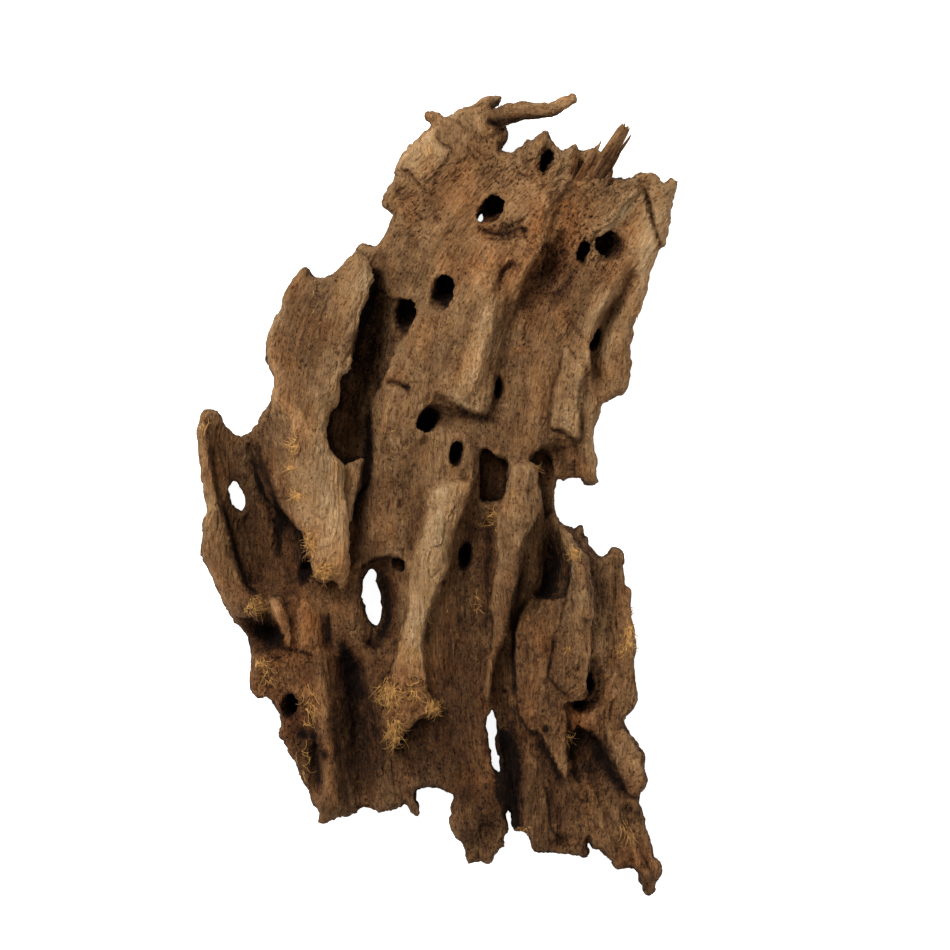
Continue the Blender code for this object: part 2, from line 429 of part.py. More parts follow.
def evaluated(piece, name):
    """The mesh of an object as its modifiers leave it, with its caps welded."""
    bpy.context.view_layer.update()
    mesh = bpy.data.meshes.new_from_object(piece.evaluated_get(bpy.context.evaluated_depsgraph_get()))
    mesh.name = name
    mesh.transform(piece.matrix_world)
    work = bmesh.new()
    work.from_mesh(mesh)
    bmesh.ops.remove_doubles(work, verts=work.verts, dist=1e-6)
    bmesh.ops.recalc_face_normals(work, faces=work.faces)
    work.to_mesh(mesh)
    work.free()
    return mesh


def drop(piece):
    bpy.data.objects.remove(piece, do_unlink=True)


def prism(name, loops, low, high):
    """A flat outline, with any openings inside it, filled and extruded from one height to another."""
    curve = bpy.data.curves.new(name, "CURVE")
    curve.dimensions = "2D"
    curve.fill_mode = "BOTH"
    curve.extrude = 0.5 * (high - low) * MM
    for loop in loops:
        spline = curve.splines.new("POLY")
        spline.points.add(len(loop) - 1)
        for point, (x, y) in zip(spline.points, loop):
            point.co = (x * MM, y * MM, 0, 1)
        spline.use_cyclic_u = True
    piece = new_object(name, curve, bpy.context.scene.collection)
    piece.location.z = 0.5 * (low + high) * MM
    mesh = evaluated(piece, name)
    drop(piece)
    return mesh


def voxels(piece, name):
    remesh = piece.modifiers.new(name, "REMESH")
    remesh.mode = "VOXEL"
    remesh.voxel_size = VOXEL


def sheet(name, loops, under, top, rounding=6.0, thinnest=5.0):
    """A sheet of wood of this outline. Its faces follow the given heights and draw together at its edge."""
    piece = new_object(name, prism(name, loops, 0, SHEET), bpy.context.scene.collection)
    voxels(piece, "even_mesh")
    mesh = evaluated(piece, name)
    drop(piece)
    co = np.empty(len(mesh.vertices) * 3)
    mesh.vertices.foreach_get("co", co)
    co = co.reshape(-1, 3)
    x, y = co[:, 0] / MM, co[:, 1] / MM
    edge = inside(x, y, loops[0])
    thin = (1 - np.clip(edge / rounding, 0, 1))**2
    low = under(x, y)
    high = np.maximum(top(x, y), low + thinnest)
    span = high - low
    high = high - 0.28 * span * thin
    low = np.maximum(low, -2) + 0.28 * span * thin
    share = np.clip(co[:, 2] / (SHEET * MM), 0, 1)
    co[:, 2] = (low + share * (high - low)) * MM
    mesh.vertices.foreach_set("co", co.ravel())
    return mesh


def limb(name, points, resolution=3):
    """A round limb through points of (x, y, z, radius), closed at both ends."""
    curve = bpy.data.curves.new(name, "CURVE")
    curve.dimensions = "3D"
    curve.bevel_depth = MM
    curve.bevel_resolution = resolution
    curve.use_fill_caps = True
    spline = curve.splines.new("POLY")
    spline.points.add(len(points) - 1)
    for point, (x, y, z, radius) in zip(spline.points, points):
        point.co = (x * MM, y * MM, z * MM, 1)
        point.radius = radius
    piece = new_object(name, curve, bpy.context.scene.collection)
    mesh = evaluated(piece, name)
    drop(piece)
    return mesh


def bore(name, middle, wide, long, lean, floor, drift, collection):
    """A leaning oval tunnel that narrows towards its foot."""
    mouth = 75.0
    work = bmesh.new()
    bmesh.ops.create_cone(work, cap_ends=True, segments=14, radius1=0.85, radius2=1.22, depth=1)
    turn = Matrix.Rotation(-math.radians(lean), 4, "Z")
    for vertex in work.verts:
        share = vertex.co.z + 0.5
        flat = turn @ Vector((vertex.co.x * wide, vertex.co.y * long, 0))
        depth = 1 - share * (mouth - floor) / (36 - floor)
        x = middle[0] + flat.x + drift[0] * depth
        y = middle[1] + flat.y + drift[1] * depth
        vertex.co = Vector((x, y, floor + share * (mouth - floor))) * MM
    mesh = bpy.data.meshes.new(name)
    work.to_mesh(mesh)
    work.free()
    return as_cutter(new_object(name, mesh, collection))


def as_cutter(piece):
    piece.hide_render = True
    piece.display_type = "WIRE"
    return piece


def wood(name, colour, roughness):
    material = bpy.data.materials.new(name)
    material.use_nodes = True
    surface = material.node_tree.nodes["Principled BSDF"]
    surface.inputs["Base Color"].default_value = (*colour, 1)
    surface.inputs["Roughness"].default_value = roughness
    surface.inputs["Metallic"].default_value = 0
    return material


def plate_top(x, y):
    """Height of the left plate's upper face: highest along a spine, falling to the tongue's tip."""
    z = 45 + 10 * swell(x, y, (-58, 66), (34, 70), 0.15) - 5 * ease(-x, 60, 84)
    z += ridge(x, y, PLATE_SPINE, 10, 9)
    z -= ridge(x, y, [(-52, 44, 5), (-60, 40, 4), (-68, 48, 2)], 7, 6)
    z -= (5 * ease(-x, 69, 72) + 9 * ease(-x, 70, 84)) * ease(-y, -56, -30) + 4 * ease(-y, 20, 48)
    return z + 1.2 * streaks(x, y, 3.0, 2.0) + 0.8 * streaks(x, y, 7.0, 5.0)


def plate_under(x, y):
    """Its lower face: into the trunk on the left, a thin lip on the right."""
    lip = ease(x, -70 + 0.16 * (y - 30), -50 + 0.16 * (y - 30))
    return 16 + lip * (plate_top(x, y) - 9 - 16) * ease(y, -55, -30)


def build_skin(collection):
    """The whole root as one closed skin, before it is parted at its forks."""
    loops = [smooth_loop(loop) for loop in (OUTLINE, EAR_WINDOW, LONG_WINDOW, LEG_SLIT)]
    meshes = [
        sheet("body", loops, body_under, body_top),
        sheet("left_plate", [smooth_loop(LEFT_PLATE)], plate_under, plate_top, 4),
        sheet("side_plate", [smooth_loop(SIDE_PLATE)], lambda x, y: 0 * x + 30, lambda x, y: 0 * x + 40, 4),
        limb("top_branch", TOP_BRANCH),
        limb("splinter_stub", SPLINTER_STUB),
        limb("left_lump", LEFT_LUMP),
    ]
    work = bmesh.new()
    for mesh in meshes:
        work.from_mesh(mesh)
        bpy.data.meshes.remove(mesh)
    mesh = bpy.data.meshes.new("root")
    work.to_mesh(mesh)
    work.free()
    skin = new_object("root", mesh, collection)
    voxels(skin, "one_skin")
    return skin


def triangles(mesh):
    mesh.calc_loop_triangles()
    return len(mesh.loop_triangles)


def fork_region(name, seam, far, shift, cutters):
    """A prism beyond a seam, moved off it by half a kerf to either side."""
    loop = [(x + shift, y) for x, y in seam] + far
    return as_cutter(new_object(name, prism(name, [loop], -10, 100), cutters))


def cut(piece, cutter, operation):
    """The exact solver leaves open edges on a skin this crumpled, so these cuts use the manifold one."""
    modifier = piece.modifiers.new(cutter.name, "BOOLEAN")
    modifier.solver = "MANIFOLD"
    modifier.operation = operation
    modifier.object = cutter


def main():
    for piece in list(bpy.data.objects):
        bpy.data.objects.remove(piece, do_unlink=True)
    scene = bpy.context.scene
    parts = bpy.data.collections.new("dragon_wood")
    bores = bpy.data.collections.new("bores")
    saws = bpy.data.collections.new("saws")
    for collection in (parts, bores, saws):
        scene.collection.children.link(collection)

    for name, (middle, wide, long, lean, floor, drift) in BORES.items():
        bore(name, middle, wide, long, lean, floor, drift, bores)
    skin = build_skin(saws)
    carve = skin.modifiers.new("bores", "BOOLEAN")
    carve.operand_type = "COLLECTION"
    carve.collection = bores
    voxels(skin, "bored_skin")
    fine = evaluated(skin, "fine")
    drop(skin)
    skin = new_object("fine", fine, saws)
    thin_out = skin.modifiers.new("facets", "DECIMATE")
    thin_out.ratio = FACETS / triangles(fine)
    wear = as_cutter(new_object("resting_plane", prism("resting_plane", [FLOOR], -20, 0), saws))
    cut(skin, wear, "DIFFERENCE")
    whole = evaluated(skin, "whole")
    drop(skin)

    half = 0.5 * KERF
    leg_side = fork_region("leg_side", LEG_SEAM, LEG_BEYOND, half, saws)
    trunk_side = fork_region("trunk_side", LEG_SEAM, LEG_BEYOND, -half, saws)
    branch_side = fork_region("branch_side", BRANCH_SEAM, BRANCH_BEYOND, half, saws)
    root_side = fork_region("root_side", BRANCH_SEAM, BRANCH_BEYOND, -half, saws)

    trunk = new_object("trunk", whole.copy(), parts, wood("trunk_wood", (0.24, 0.145, 0.075), 0.85))
    cut(trunk, trunk_side, "DIFFERENCE")
    cut(trunk, root_side, "DIFFERENCE")
    leg = new_object("right_leg", whole.copy(), parts, wood("leg_wood", (0.2, 0.12, 0.06), 0.85))
    cut(leg, leg_side, "INTERSECT")
    branch = new_object("top_branch", whole.copy(), parts, wood("branch_wood", (0.3, 0.19, 0.1), 0.8))
    cut(branch, branch_side, "INTERSECT")
    bpy.data.meshes.remove(whole)


main()
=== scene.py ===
"""Looks of the dragon wood: a weathered, bored root plate lying on its back, seen from straight above.

The forms repeat those of the solids, with finer relief, splinters and fibres. The plan is in millimetres.
"""

import math

import bmesh
import bpy
import numpy as np
from mathutils import Matrix, Vector


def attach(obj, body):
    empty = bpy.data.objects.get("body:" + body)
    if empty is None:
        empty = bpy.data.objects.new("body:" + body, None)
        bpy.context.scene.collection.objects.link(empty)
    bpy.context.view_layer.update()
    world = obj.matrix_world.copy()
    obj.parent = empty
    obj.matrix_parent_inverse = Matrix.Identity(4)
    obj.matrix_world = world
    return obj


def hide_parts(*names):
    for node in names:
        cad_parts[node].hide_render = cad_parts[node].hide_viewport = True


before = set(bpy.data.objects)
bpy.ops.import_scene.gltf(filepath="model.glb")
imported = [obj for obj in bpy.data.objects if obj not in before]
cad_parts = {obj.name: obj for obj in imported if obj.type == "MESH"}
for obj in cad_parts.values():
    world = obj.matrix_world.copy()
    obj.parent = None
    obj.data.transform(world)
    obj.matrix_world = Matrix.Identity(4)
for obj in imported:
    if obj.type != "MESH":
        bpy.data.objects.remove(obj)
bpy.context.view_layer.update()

LENGTH = 0.4015          # from the lowest tip to the end of the top branch, metres
PLAN_LENGTH = 401.5      # the same length in the plan's own millimetres
MM = LENGTH / PLAN_LENGTH
VOXEL = 0.9 * MM         # the grain of the skin that is carved
SKIN_VOXEL = 0.8 * MM    # the grain of the finished skin
WELD = 1e-6              # corners closer than this are one, metres
FAR = 30.0               # distances to an outline are told apart up to this
SHEET = 12.0             # thickness of a flat sheet before it is shaped
THINNEST = 5.0           # least thickness of a sheet once it is shaped
EDGE_DRAW = 0.22         # the share of its thickness that each face of a sheet gives up at the edge
CRISP = 0.6              # softness of a sheet's step against that of the solids
CHIPS = 0.55             # depth of the small chips along an outline
CHIP_STEP = 0.9          # spacing of the points that carry them
LIMB_ROUNDNESS = 5       # segments in a quarter of a limb's section
BORE_SEGMENTS = 28
BORE_MOUTH = 75.0        # the height where a bore's cutter ends, well above the face
BORE_MIDDLE = 36.0       # the height at which a bore's middle is given
BRIM = 38.0              # the height from which the painted shade in a bore begins
BLACK_BELOW = 20.0       # bores whose floor lies higher than this get no painted shade
SAW_FOOT, SAW_TOP = -10, 100    # the heights between which the forks are parted
ABOVE_ALL = 0.2          # a height above all of the wood, metres
SHARP_ANGLE = 58         # edges keener than this stay sharp, degrees
MOST_TRIANGLES = {"trunk_skin": 198000, "leg_skin": 130000, "branch_skin": 16000}

# Light: white from all round, and a soft lamp from the upper left, in metres and watts.
FILL_LIGHT = 0.62
KEY_LIGHT = 42.0
KEY_SIZE = 0.9
KEY_PLACE = (-0.75, 0.95, 1.5)
PAPER_TONE = 0.8
PAPER_GLOW = 0.9
PAPER_HALF = 4

# Broken edges of the face: points of (x, y, drop), and how far the drop reaches to the left and right of
# the line. The wood's tone gets a painted shadow below each edge and a painted highlight above it.
LEDGES = [
    ([(52.9, 142, 1), (53.6, 127.4, 3), (51.6, 120.8, 4), (46.3, 112.8, 4), (43, 103.5, 4),
      (39.6, 94.2, 3), (36, 84, 1.5)], 8, 0.5),
    ([(30.4, 98.2, 1), (29, 85, 2), (27, 71.7, 2.5), (26.4, 63.7, 2.5), (29.7, 58.4, 2.5),
      (29, 50.5, 3), (25.7, 39.9, 4), (15.8, 42.5, 4), (4.5, 49.1, 2)], 6, 0.5),
    ([(25.1, 98.2, 0.6), (22.4, 84.9, 1.4), (17.8, 63.7, 1.8), (15.8, 53.1, 1.8),
      (10.5, 53.1, 1)], 0.5, 6),
    ([(63.5, 76, 1), (62.2, 63.7, 2), (59.5, 53.1, 2.5), (58.2, 45.2, 2.5), (56.9, 35.9, 3)], 0.5, 5),
    ([(74.1, 80, 1), (76.8, 71.7, 3), (76.8, 63.7, 3.5), (72.8, 58.4, 3), (70.8, 53.1, 2.5),
      (70.8, 45.2, 2.5), (71.5, 38.5, 2.5), (72.1, 29.2, 2)], 5, 0.5),
]

# The camera looks straight down. The frame is this wide at the height of the wood's face.
VIEW_CENTRE = (19.5, 10.5)
VIEW_WIDTH = 475.0
VIEW_HEIGHT = 30.0
CAMERA_DISTANCE = 2600.0
SENSOR = 36.0

# The outer edge from above, clockwise from the notch at the upper left.
TOP_EDGE = [
    (-22, 139), (-22, 142), (-27, 147), (-24, 154), (-20, 160), (-21, 163), (-18, 170), (-12, 176),
    (-6, 182), (-1, 186), (-4, 188), (-6, 191), (-5, 192.8), (0, 192), (4, 190), (8, 191), (12, 193.5),
    (17, 195.5), (21, 197.5), (24, 199.6), (29, 200.2), (32.5, 200.4), (31.5, 197.5), (29, 195),
    (31, 190), (35.5, 185), (35, 180), (31, 174.5), (33, 172.7), (38, 172.3), (41, 174), (46, 178.5),
    (49, 177.7), (51.5, 181), (55, 183), (57, 180.5), (58, 177), (61, 175), (63.5, 171.5), (66, 174),
    (70, 176.3), (72.5, 172.7), (80, 174), (83, 170), (85, 165), (83, 160.5), (85, 158.5), (89, 159.7),
    (92, 158.8), (97, 158.5), (100, 160.5), (104, 161.6), (109, 161), (112, 158), (114.5, 155.8),
    (117.5, 158.6), (120, 157),
]
RIGHT_EDGE = [
    (119, 150), (117.5, 142), (116.5, 135), (115.2, 130), (115, 125.5), (112, 125), (110.5, 121),
    (107, 112), (105, 103), (103, 97), (102, 92), (100, 88), (98, 82), (97, 74), (97, 65), (97, 58),
    (96, 55), (93.5, 51), (90, 50), (86, 48), (82.5, 46), (81, 41), (79.5, 35), (78.5, 28), (79, 22),
    (80, 18), (80.3, 10), (81.5, 7.3), (76, 5.5), (74, 6.5), (72.5, 9), (69, 9.2), (65.5, 9), (63.5, 7.3),
    (62, 9.3), (60.5, 9.3), (60, 5), (58.7, 2), (59, -4), (60, -9), (62, -13), (66, -16), (68, -16),
    (69, -17.7), (72, -15), (73.2, -15.5), (73, -21.5), (75, -20), (76.5, -22), (77, -26), (80, -30),
    (83, -31), (85, -30), (88, -27), (89, -25.5), (91, -27), (93, -27.5), (94, -30), (93.5, -36),
    (94.5, -42), (95, -46), (97, -46.5), (97, -52), (97.5, -60), (99, -70), (99.5, -80), (100, -90),
    (100.7, -98), (100.5, -103), (98, -108), (95, -111), (94, -115), (96, -119), (100, -123.5),
    (103, -129), (104.5, -137), (105, -143), (103, -147), (101.5, -150), (102, -155), (104, -161),
    (105.5, -168), (108, -176), (110, -181), (113.5, -185), (113, -189), (110.5, -194), (109, -199),
]
BOTTOM_EDGE = [
    (105.5, -200.7), (103.5, -197), (101.5, -190), (99.5, -187.5), (96.5, -186.5), (94, -187), (92, -188),
    (90, -187), (88.5, -183.5), (85, -180), (82, -177), (80, -177.5), (78, -174.5), (76, -173),
    (75.5, -177), (77, -178.5), (75, -180.5), (70, -180), (60, -178.5), (50, -178), (48, -174),
    (46, -170), (43, -168), (39.5, -166.5), (38, -161), (36.5, -157), (34, -160), (35.5, -165),
    (36, -168), (34.5, -170), (34, -176), (32.5, -176), (31, -179), (28.5, -178.8), (28, -182),
    (26.5, -184), (24, -184), (20, -183), (16, -184.5), (15.5, -180), (14, -175.5), (10, -170.5),
    (6.5, -165), (7.5, -161), (8.5, -159), (7.8, -156), (9, -151), (6, -149), (2, -147), (-4, -146),
    (-10.3, -148), (-10, -153), (-8.3, -158), (-9, -161), (-10.5, -161), (-13, -157), (-15.5, -153.5),
    (-18, -156.5), (-21, -156.3), (-24, -157.5), (-28, -159), (-29.5, -157.7), (-36, -157.5),
    (-41, -159.5), (-47, -160.5), (-51, -162), (-55, -163.2), (-59.5, -164.3),
]
LEFT_EDGE = [
    (-57.5, -161), (-58, -159), (-60, -156), (-63, -150), (-66, -144), (-70, -136), (-74, -130),
    (-75.5, -125), (-78.5, -120), (-77.5, -117), (-77.5, -111), (-80, -105.5), (-84, -101.5),
    (-87, -100.5), (-89, -102), (-91, -100), (-93, -95), (-93.2, -88), (-92.8, -82), (-93, -76),
    (-94.5, -71), (-97.5, -67), (-100, -64), (-103, -60), (-107, -53), (-110, -46.5), (-114, -39),
    (-117, -32), (-117.5, -27), (-116.5, -20), (-115.5, -11), (-114, -7), (-115, -3), (-117, 4),
    (-117.5, 14), (-118.5, 22), (-120.2, 30), (-119.5, 37), (-118, 41), (-116, 43.8), (-112, 42.8),
    (-110, 42.3), (-107, 38), (-105, 34), (-103.5, 33.8), (-101, 31.2), (-98, 30.4), (-95, 31),
    (-91, 34.5), (-87, 40), (-83.5, 47), (-81.5, 53), (-81, 58), (-82, 62), (-83.5, 65.5), (-86, 67.5),
    (-85.5, 74), (-85, 76.5), (-83, 79), (-82.5, 84), (-81, 88), (-79, 89.3), (-77, 94), (-76, 100),
    (-74.5, 103), (-71, 108), (-68, 112), (-64.5, 114.4), (-63.3, 110.5), (-60.5, 108.7), (-57, 108),
    (-53, 109), (-50, 111), (-46.5, 115), (-42.5, 119), (-41.5, 121.5), (-38.5, 126), (-37, 126.6),
    (-35, 125.5), (-31, 125), (-28, 126.5), (-25, 130), (-23, 135),
]
OUTLINE = TOP_EDGE + RIGHT_EDGE + BOTTOM_EDGE + LEFT_EDGE

# Openings that decay has eaten right through.
EAR_WINDOW = [
    (-102.5, 8.5), (-99.5, 5), (-97, -0.5), (-97, -7), (-98.5, -8.5), (-103, -4), (-104.5, 1),
    (-104.5, 5.5),
]
LONG_WINDOW = [
    (-33, -36.3), (-29.3, -39.5), (-30, -43), (-28.3, -49), (-27.5, -58), (-28.5, -64), (-31, -66.5),
    (-34.5, -63), (-36, -56), (-37.8, -50), (-37, -41),
]
LEG_SLIT = [
    (27.6, -105), (30, -110), (31, -116), (30.2, -121), (31.5, -128), (32.8, -134), (32, -141),
    (29, -137), (26.5, -129), (25.6, -121), (24.7, -113),
]

# The left plate and its tongue, a sheet that overhangs a dark cavity.
LEFT_PLATE = [
    (-64.5, 114.4), (-63.3, 110.5), (-60.5, 108.7), (-57, 108), (-53, 109), (-50, 111), (-46.5, 115),
    (-42.5, 119), (-38, 122), (-33.5, 115.5), (-32, 110), (-33.5, 100), (-36, 94), (-38, 86), (-40, 76),
    (-41.5, 68), (-43, 62), (-47, 59), (-48.3, 48), (-52, 42), (-54.4, 36), (-54.4, 29), (-52, 21),
    (-46.4, 16), (-46, 5), (-44.3, -9), (-42.8, -23), (-43, -35), (-44, -44), (-47, -48.5), (-50, -42),
    (-57, -43), (-61, -39), (-62, -33), (-64, -30), (-66, -20), (-72, -12), (-79, -4), (-82, 4),
    (-82.5, 14), (-83, 26), (-83, 38), (-82, 50), (-80.5, 58), (-83, 66), (-84.5, 76), (-81, 87),
    (-77, 93), (-75, 102), (-70, 109),
]
# A terrace to the left of the tongue, above the hollow of the ear.
TERRACE = [
    (-80, 62), (-84, 52), (-88, 42), (-92, 33), (-91.5, 24), (-90, 12), (-87, 2), (-82, -5), (-77, -10),
    (-70, -8), (-62, 0), (-62, 55),
]
# A small side plate that points right across the cavity.
SIDE_PLATE = [
    (-45.8, 15.3), (-39.5, 17.6), (-35.6, 19.1), (-35.9, 17), (-37.8, 6.1), (-39.5, -0.3), (-41.1, -6.6),
    (-42.1, -13), (-50, -13), (-60, 0), (-60, 14),
]

CENTRE_PLATE = [
    (-10, 90), (-14, 78.5), (-19.5, 70), (-25, 60), (-27, 48), (-28, 30), (-28, 4), (-12, 2), (-6, 14),
    (-8, 26), (-4, 34), (2, 46), (7, 44), (13, 41), (20, 40), (26, 42), (28, 50), (30, 62), (33, 78),
    (34, 92), (36, 102), (30, 110), (16, 116), (10, 104), (-2, 92),
]
# The dark hollow between the left plate and the trunk's face, whose right side is a crisp edge.
HOLLOW = [
    (-27, 112), (-26, 104), (-22, 99), (-13, 98), (-11.5, 90), (-12.5, 84), (-18, 75), (-25, 62),
    (-29, 54), (-32, 46), (-32.5, 36), (-32, 20), (-34, 6), (-42, 4), (-52, 15), (-58, 30), (-56, 44),
    (-52, 56), (-46, 70), (-42, 86), (-37, 104), (-32, 112),
]
# A smooth facet at the top left.
FACET = [
    (-20, 168), (-12, 176), (0, 185), (2, 178), (8, 173.5), (3, 166), (-2, 160), (-7, 155), (-12, 161),
    (-18, 165),
]
# A small scoop with an arched top, on the flank of the upper crest.
SCOOP = [
    (29.5, 98), (29.5, 106), (32, 111.5), (35.5, 116), (39, 117), (42, 114.5), (41, 110), (37, 104),
    (34, 97),
]
# The two middle ridges, and the pockets at the top of the second.
MIDDLE_RIDGE = [
    (6.5, 7.2), (0.4, 4.1), (-3.9, -0.8), (-4.5, -4.5), (-2.7, -6.3), (-5.1, -12.4), (-6.4, -21),
    (-8.8, -24.7), (-11.3, -29.6), (-12.5, -38.1), (-13.7, -45.5), (-13.7, -56.5), (-16.2, -65),
    (-18, -73.6), (-21, -84), (-24, -95), (-26, -112), (-21, -127), (-16, -119), (-8, -111), (-2, -109),
    (3, -108), (-4, -98), (-5.8, -84), (-6.4, -73.6), (-5.1, -66.3), (-3.3, -57.7), (-0.9, -51.6),
    (2.2, -46.7), (4.7, -40.6), (7.1, -33.2), (8.3, -24.7), (8.9, -17.3), (12, -11.2), (14.5, -5.1),
    (18.1, 2.3), (18.7, 7.8),
]
RIGHT_RIDGE = [
    (38.3, 15.8), (43.2, 17), (48.7, 15.8), (50.6, 12.1), (50.6, 6), (52.8, 0.4), (52.4, -6.3),
    (50.6, -11.2), (47.5, -16.1), (43.8, -21), (43.2, -29.6), (42.6, -38.1), (40.8, -45.5), (39.6, -52.8),
    (37.7, -57.7), (35.9, -65.1), (34, -72.4), (31.6, -78.5), (29.8, -84.7), (28, -92), (27, -104),
    (24, -100), (24.5, -92), (25.5, -84.7), (27.9, -78.5), (29.1, -70), (29.1, -62.6), (27.3, -56.5),
    (28.5, -47.9), (29.1, -41.8), (31, -35.7), (31.6, -27.1), (30.7, -21), (31, -14.9), (31.6, -7.5),
    (33.4, -0.2), (35.9, 4.7), (37.1, 8.4),
]
SQUARE_POCKET = [
    (21.7, 20), (23, 23.6), (26, 23.6), (28.5, 21), (30.5, 19), (33, 19.5), (35.5, 18.5), (36.6, 15),
    (36.4, 8), (35.2, 2), (33, -2), (28, -3.5), (24, -3), (21.4, -1), (21.5, 8),
]
ARCHED_POCKET = [
    (46.5, 17.5), (49, 21), (52.5, 23.2), (55.5, 22), (58.5, 18.5), (59.5, 12), (59, -8), (55, -12),
    (53, -4), (52, 6), (51, 15),
]
# The rim of the ear, a short bar below it, the torn strip at the right, and the recess at the fork.
EAR_RIM = [
    (-122, 50), (-116, 44), (-113.6, 30), (-112.9, 22), (-112.2, 13.8), (-109, -0.3), (-105.1, -10.5),
    (-103.2, -19.4), (-101.3, -30.9), (-98.8, -38.5), (-93.7, -47.5), (-86, -51.3), (-89.2, -61.5),
    (-98, -60), (-112, -40), (-124, -20), (-126, 20),
]
BAR = [
    (-82.5, -52), (-78.5, -50.5), (-75, -58), (-72.3, -66), (-71.5, -75), (-74, -76), (-76.5, -70),
    (-79, -62),
]
STRIP = [
    (63.5, 74.3), (62.2, 63.7), (59.5, 53.1), (58.2, 45.2), (56.9, 35.9), (58.9, 32.6), (63.5, 33.9),
    (66.8, 31.9), (70.1, 27.9), (72.1, 29.2), (71.5, 38.5), (70.8, 45.2), (70.8, 53.1), (72.8, 58.4),
    (76.8, 63.7), (76.8, 71.7), (74.1, 74.3), (69, 77),
]
FORK_RECESS = [
    (29, -76), (38, -74), (40, -84), (40, -98), (34, -104), (29, -96), (27.5, -86),
]
# The sheet of the lower right leg, which ends in a splinter.
LEG_PLATE = [
    (61.5, -14), (63.4, -21), (65.3, -25.9), (66.5, -30.8), (67.7, -36.9), (66.5, -45.5), (65.3, -50.4),
    (57.9, -52.2), (50.6, -51.6), (47.5, -50.4), (44.5, -55.3), (42, -60.2), (40.8, -65), (39.6, -70),
    (40.2, -76.1), (39.6, -82.2), (40.5, -92), (41.4, -101), (42.6, -109.6), (47.5, -116.9),
    (52.4, -118.7), (56.7, -126.7), (61, -135.3), (65.3, -142.6), (65.9, -135.3), (64.7, -125.5),
    (64.7, -118.1), (65.3, -110.8), (65, -104), (69, -102.5), (73.2, -102.2), (75.1, -97.3),
    (76.3, -92.4), (76.9, -82.6), (78.1, -64.2), (78.1, -50.4), (76.9, -40.6), (76.3, -30.8),
    (72.6, -27.1), (67.7, -21), (64.5, -14),
]

# The knob on the right of the leg, and the arched hollow beside it.
KNOB = [
    (94, -115), (99, -119), (103, -127), (106, -136), (106, -144), (102, -150.5), (97, -148.5),
    (93.5, -142), (90.5, -134), (89, -126), (90, -118),
]
ARCHED_HOLLOW = [
    (66, -126), (67, -119), (71, -116), (76, -117.5), (80.5, -121.5), (84.5, -128), (88, -137),
    (93, -146), (100, -151), (98, -158), (86, -152), (76, -152), (69, -142),
]

# A shard that lies over the upper right edge, split off along a crack.
SLIVER = [
    (104.5, 158), (104.5, 153), (106, 150), (107.5, 145), (108.5, 140), (110.5, 136), (111.3, 130),
    (112, 124.5), (116, 124), (118, 135), (121, 150), (122, 158), (112, 164), (104, 163),
]

# Crests of the upper face: points of (x, y, height), and the half widths to the left and right of it.
CRESTS = [
    ([(58, 156, 2), (54, 140, 8), (53, 125, 9), (49, 114, 9), (41, 102, 5), (35, 92, 2)], 2.6, 20),
    ([(28, 102, 2), (24, 85, 5), (22, 70, 6), (18, 57, 5), (10, 45, 3)], 4, 9),
    ([(98, 118, 3), (92, 112, 5), (78, 92, 8), (76, 70, 9), (71, 50, 9), (70, 32, 8)], 6, 9),
    ([(79, 45, 2), (78, 28, 7), (79, 10, 4)], 4, 5),
    ([(62, 96, 2), (63, 84, 4), (64, 70, 3), (62, 50, 2), (59, 36, 2)], 4, 4),
    ([(68.8, 76, 1), (68.8, 72.3, 2), (68.8, 69, 1)], 3, 3),
    ([(43, 12, 3), (42, -12, 4), (38, -40, 4), (32, -70, 3)], 5, 5),
    ([(-98, 26, 2), (-95, 12, 4), (-91, 2, 4), (-86, -10, 3), (-84, -30, 2)], 2.5, 2.5),
    ([(-116, 38, 4), (-115, 20, 6), (-111, 0, 6), (-109, -20, 6), (-104, -38, 6), (-93, -52, 4)], 6, 8),
    ([(-81, -53, 5), (-77, -66, 5), (-73, -77, 3)], 3.5, 3.5),
    ([(-65, -50, 6), (-65, -64, 6), (-66, -78, 5)], 6, 7),
    ([(17.5, 30, 1), (17.6, 18, 3), (18, 8, 4)], 1.6, 1.6),
    ([(-86, -84, 7), (-76, -86, 8), (-66, -98, 5)], 6, 8),
    ([(-57, -84, 7), (-56, -110, 9), (-53, -132, 8), (-52, -154, 4)], 4, 5),
    ([(-44, -38, 2), (-38, -34, 4), (-28, -29, 6), (-19, -29, 5), (-13, -36, 3)], 3, 4),
    ([(61, -4, 3), (62, -16, 9), (68, -28, 13), (73, -42, 12), (76, -58, 8)], 5, 5),
    ([(46, 160, 1), (50, 168, 5), (54, 176, 7), (55, 183, 5)], 4, 3),
    ([(59, 158, 3), (61, 166, 6), (61, 174, 4)], 3, 2),
    ([(64, 156, 2), (66, 166, 6), (69, 175, 4)], 4, 4),
    ([(72, 156, 3), (77, 164, 5), (82, 170, 4)], 4, 4),
    ([(74, 130, 3), (84, 138, 5), (94, 148, 5), (104, 158, 3)], 6, 5),
    ([(50, -134, 1), (55, -152, 4), (59, -168, 3)], 2, 4),
    ([(70, -132, 1), (78, -150, 4), (84, -167, 4), (88, -180, 2)], 2, 5),
    ([(90, -158, 2), (98, -173, 5), (104, -190, 4)], 3, 4),
    ([(-20, 55, 1.5), (-23, 47, 2), (-26, 38, 2), (-28, 28, 1)], 1.5, 1.5),
    ([(-99, 10, 2), (-94.5, 3, 3), (-94, -3, 3), (-95, -8, 3), (-99, -11, 2)], 1.5, 1.5),
]
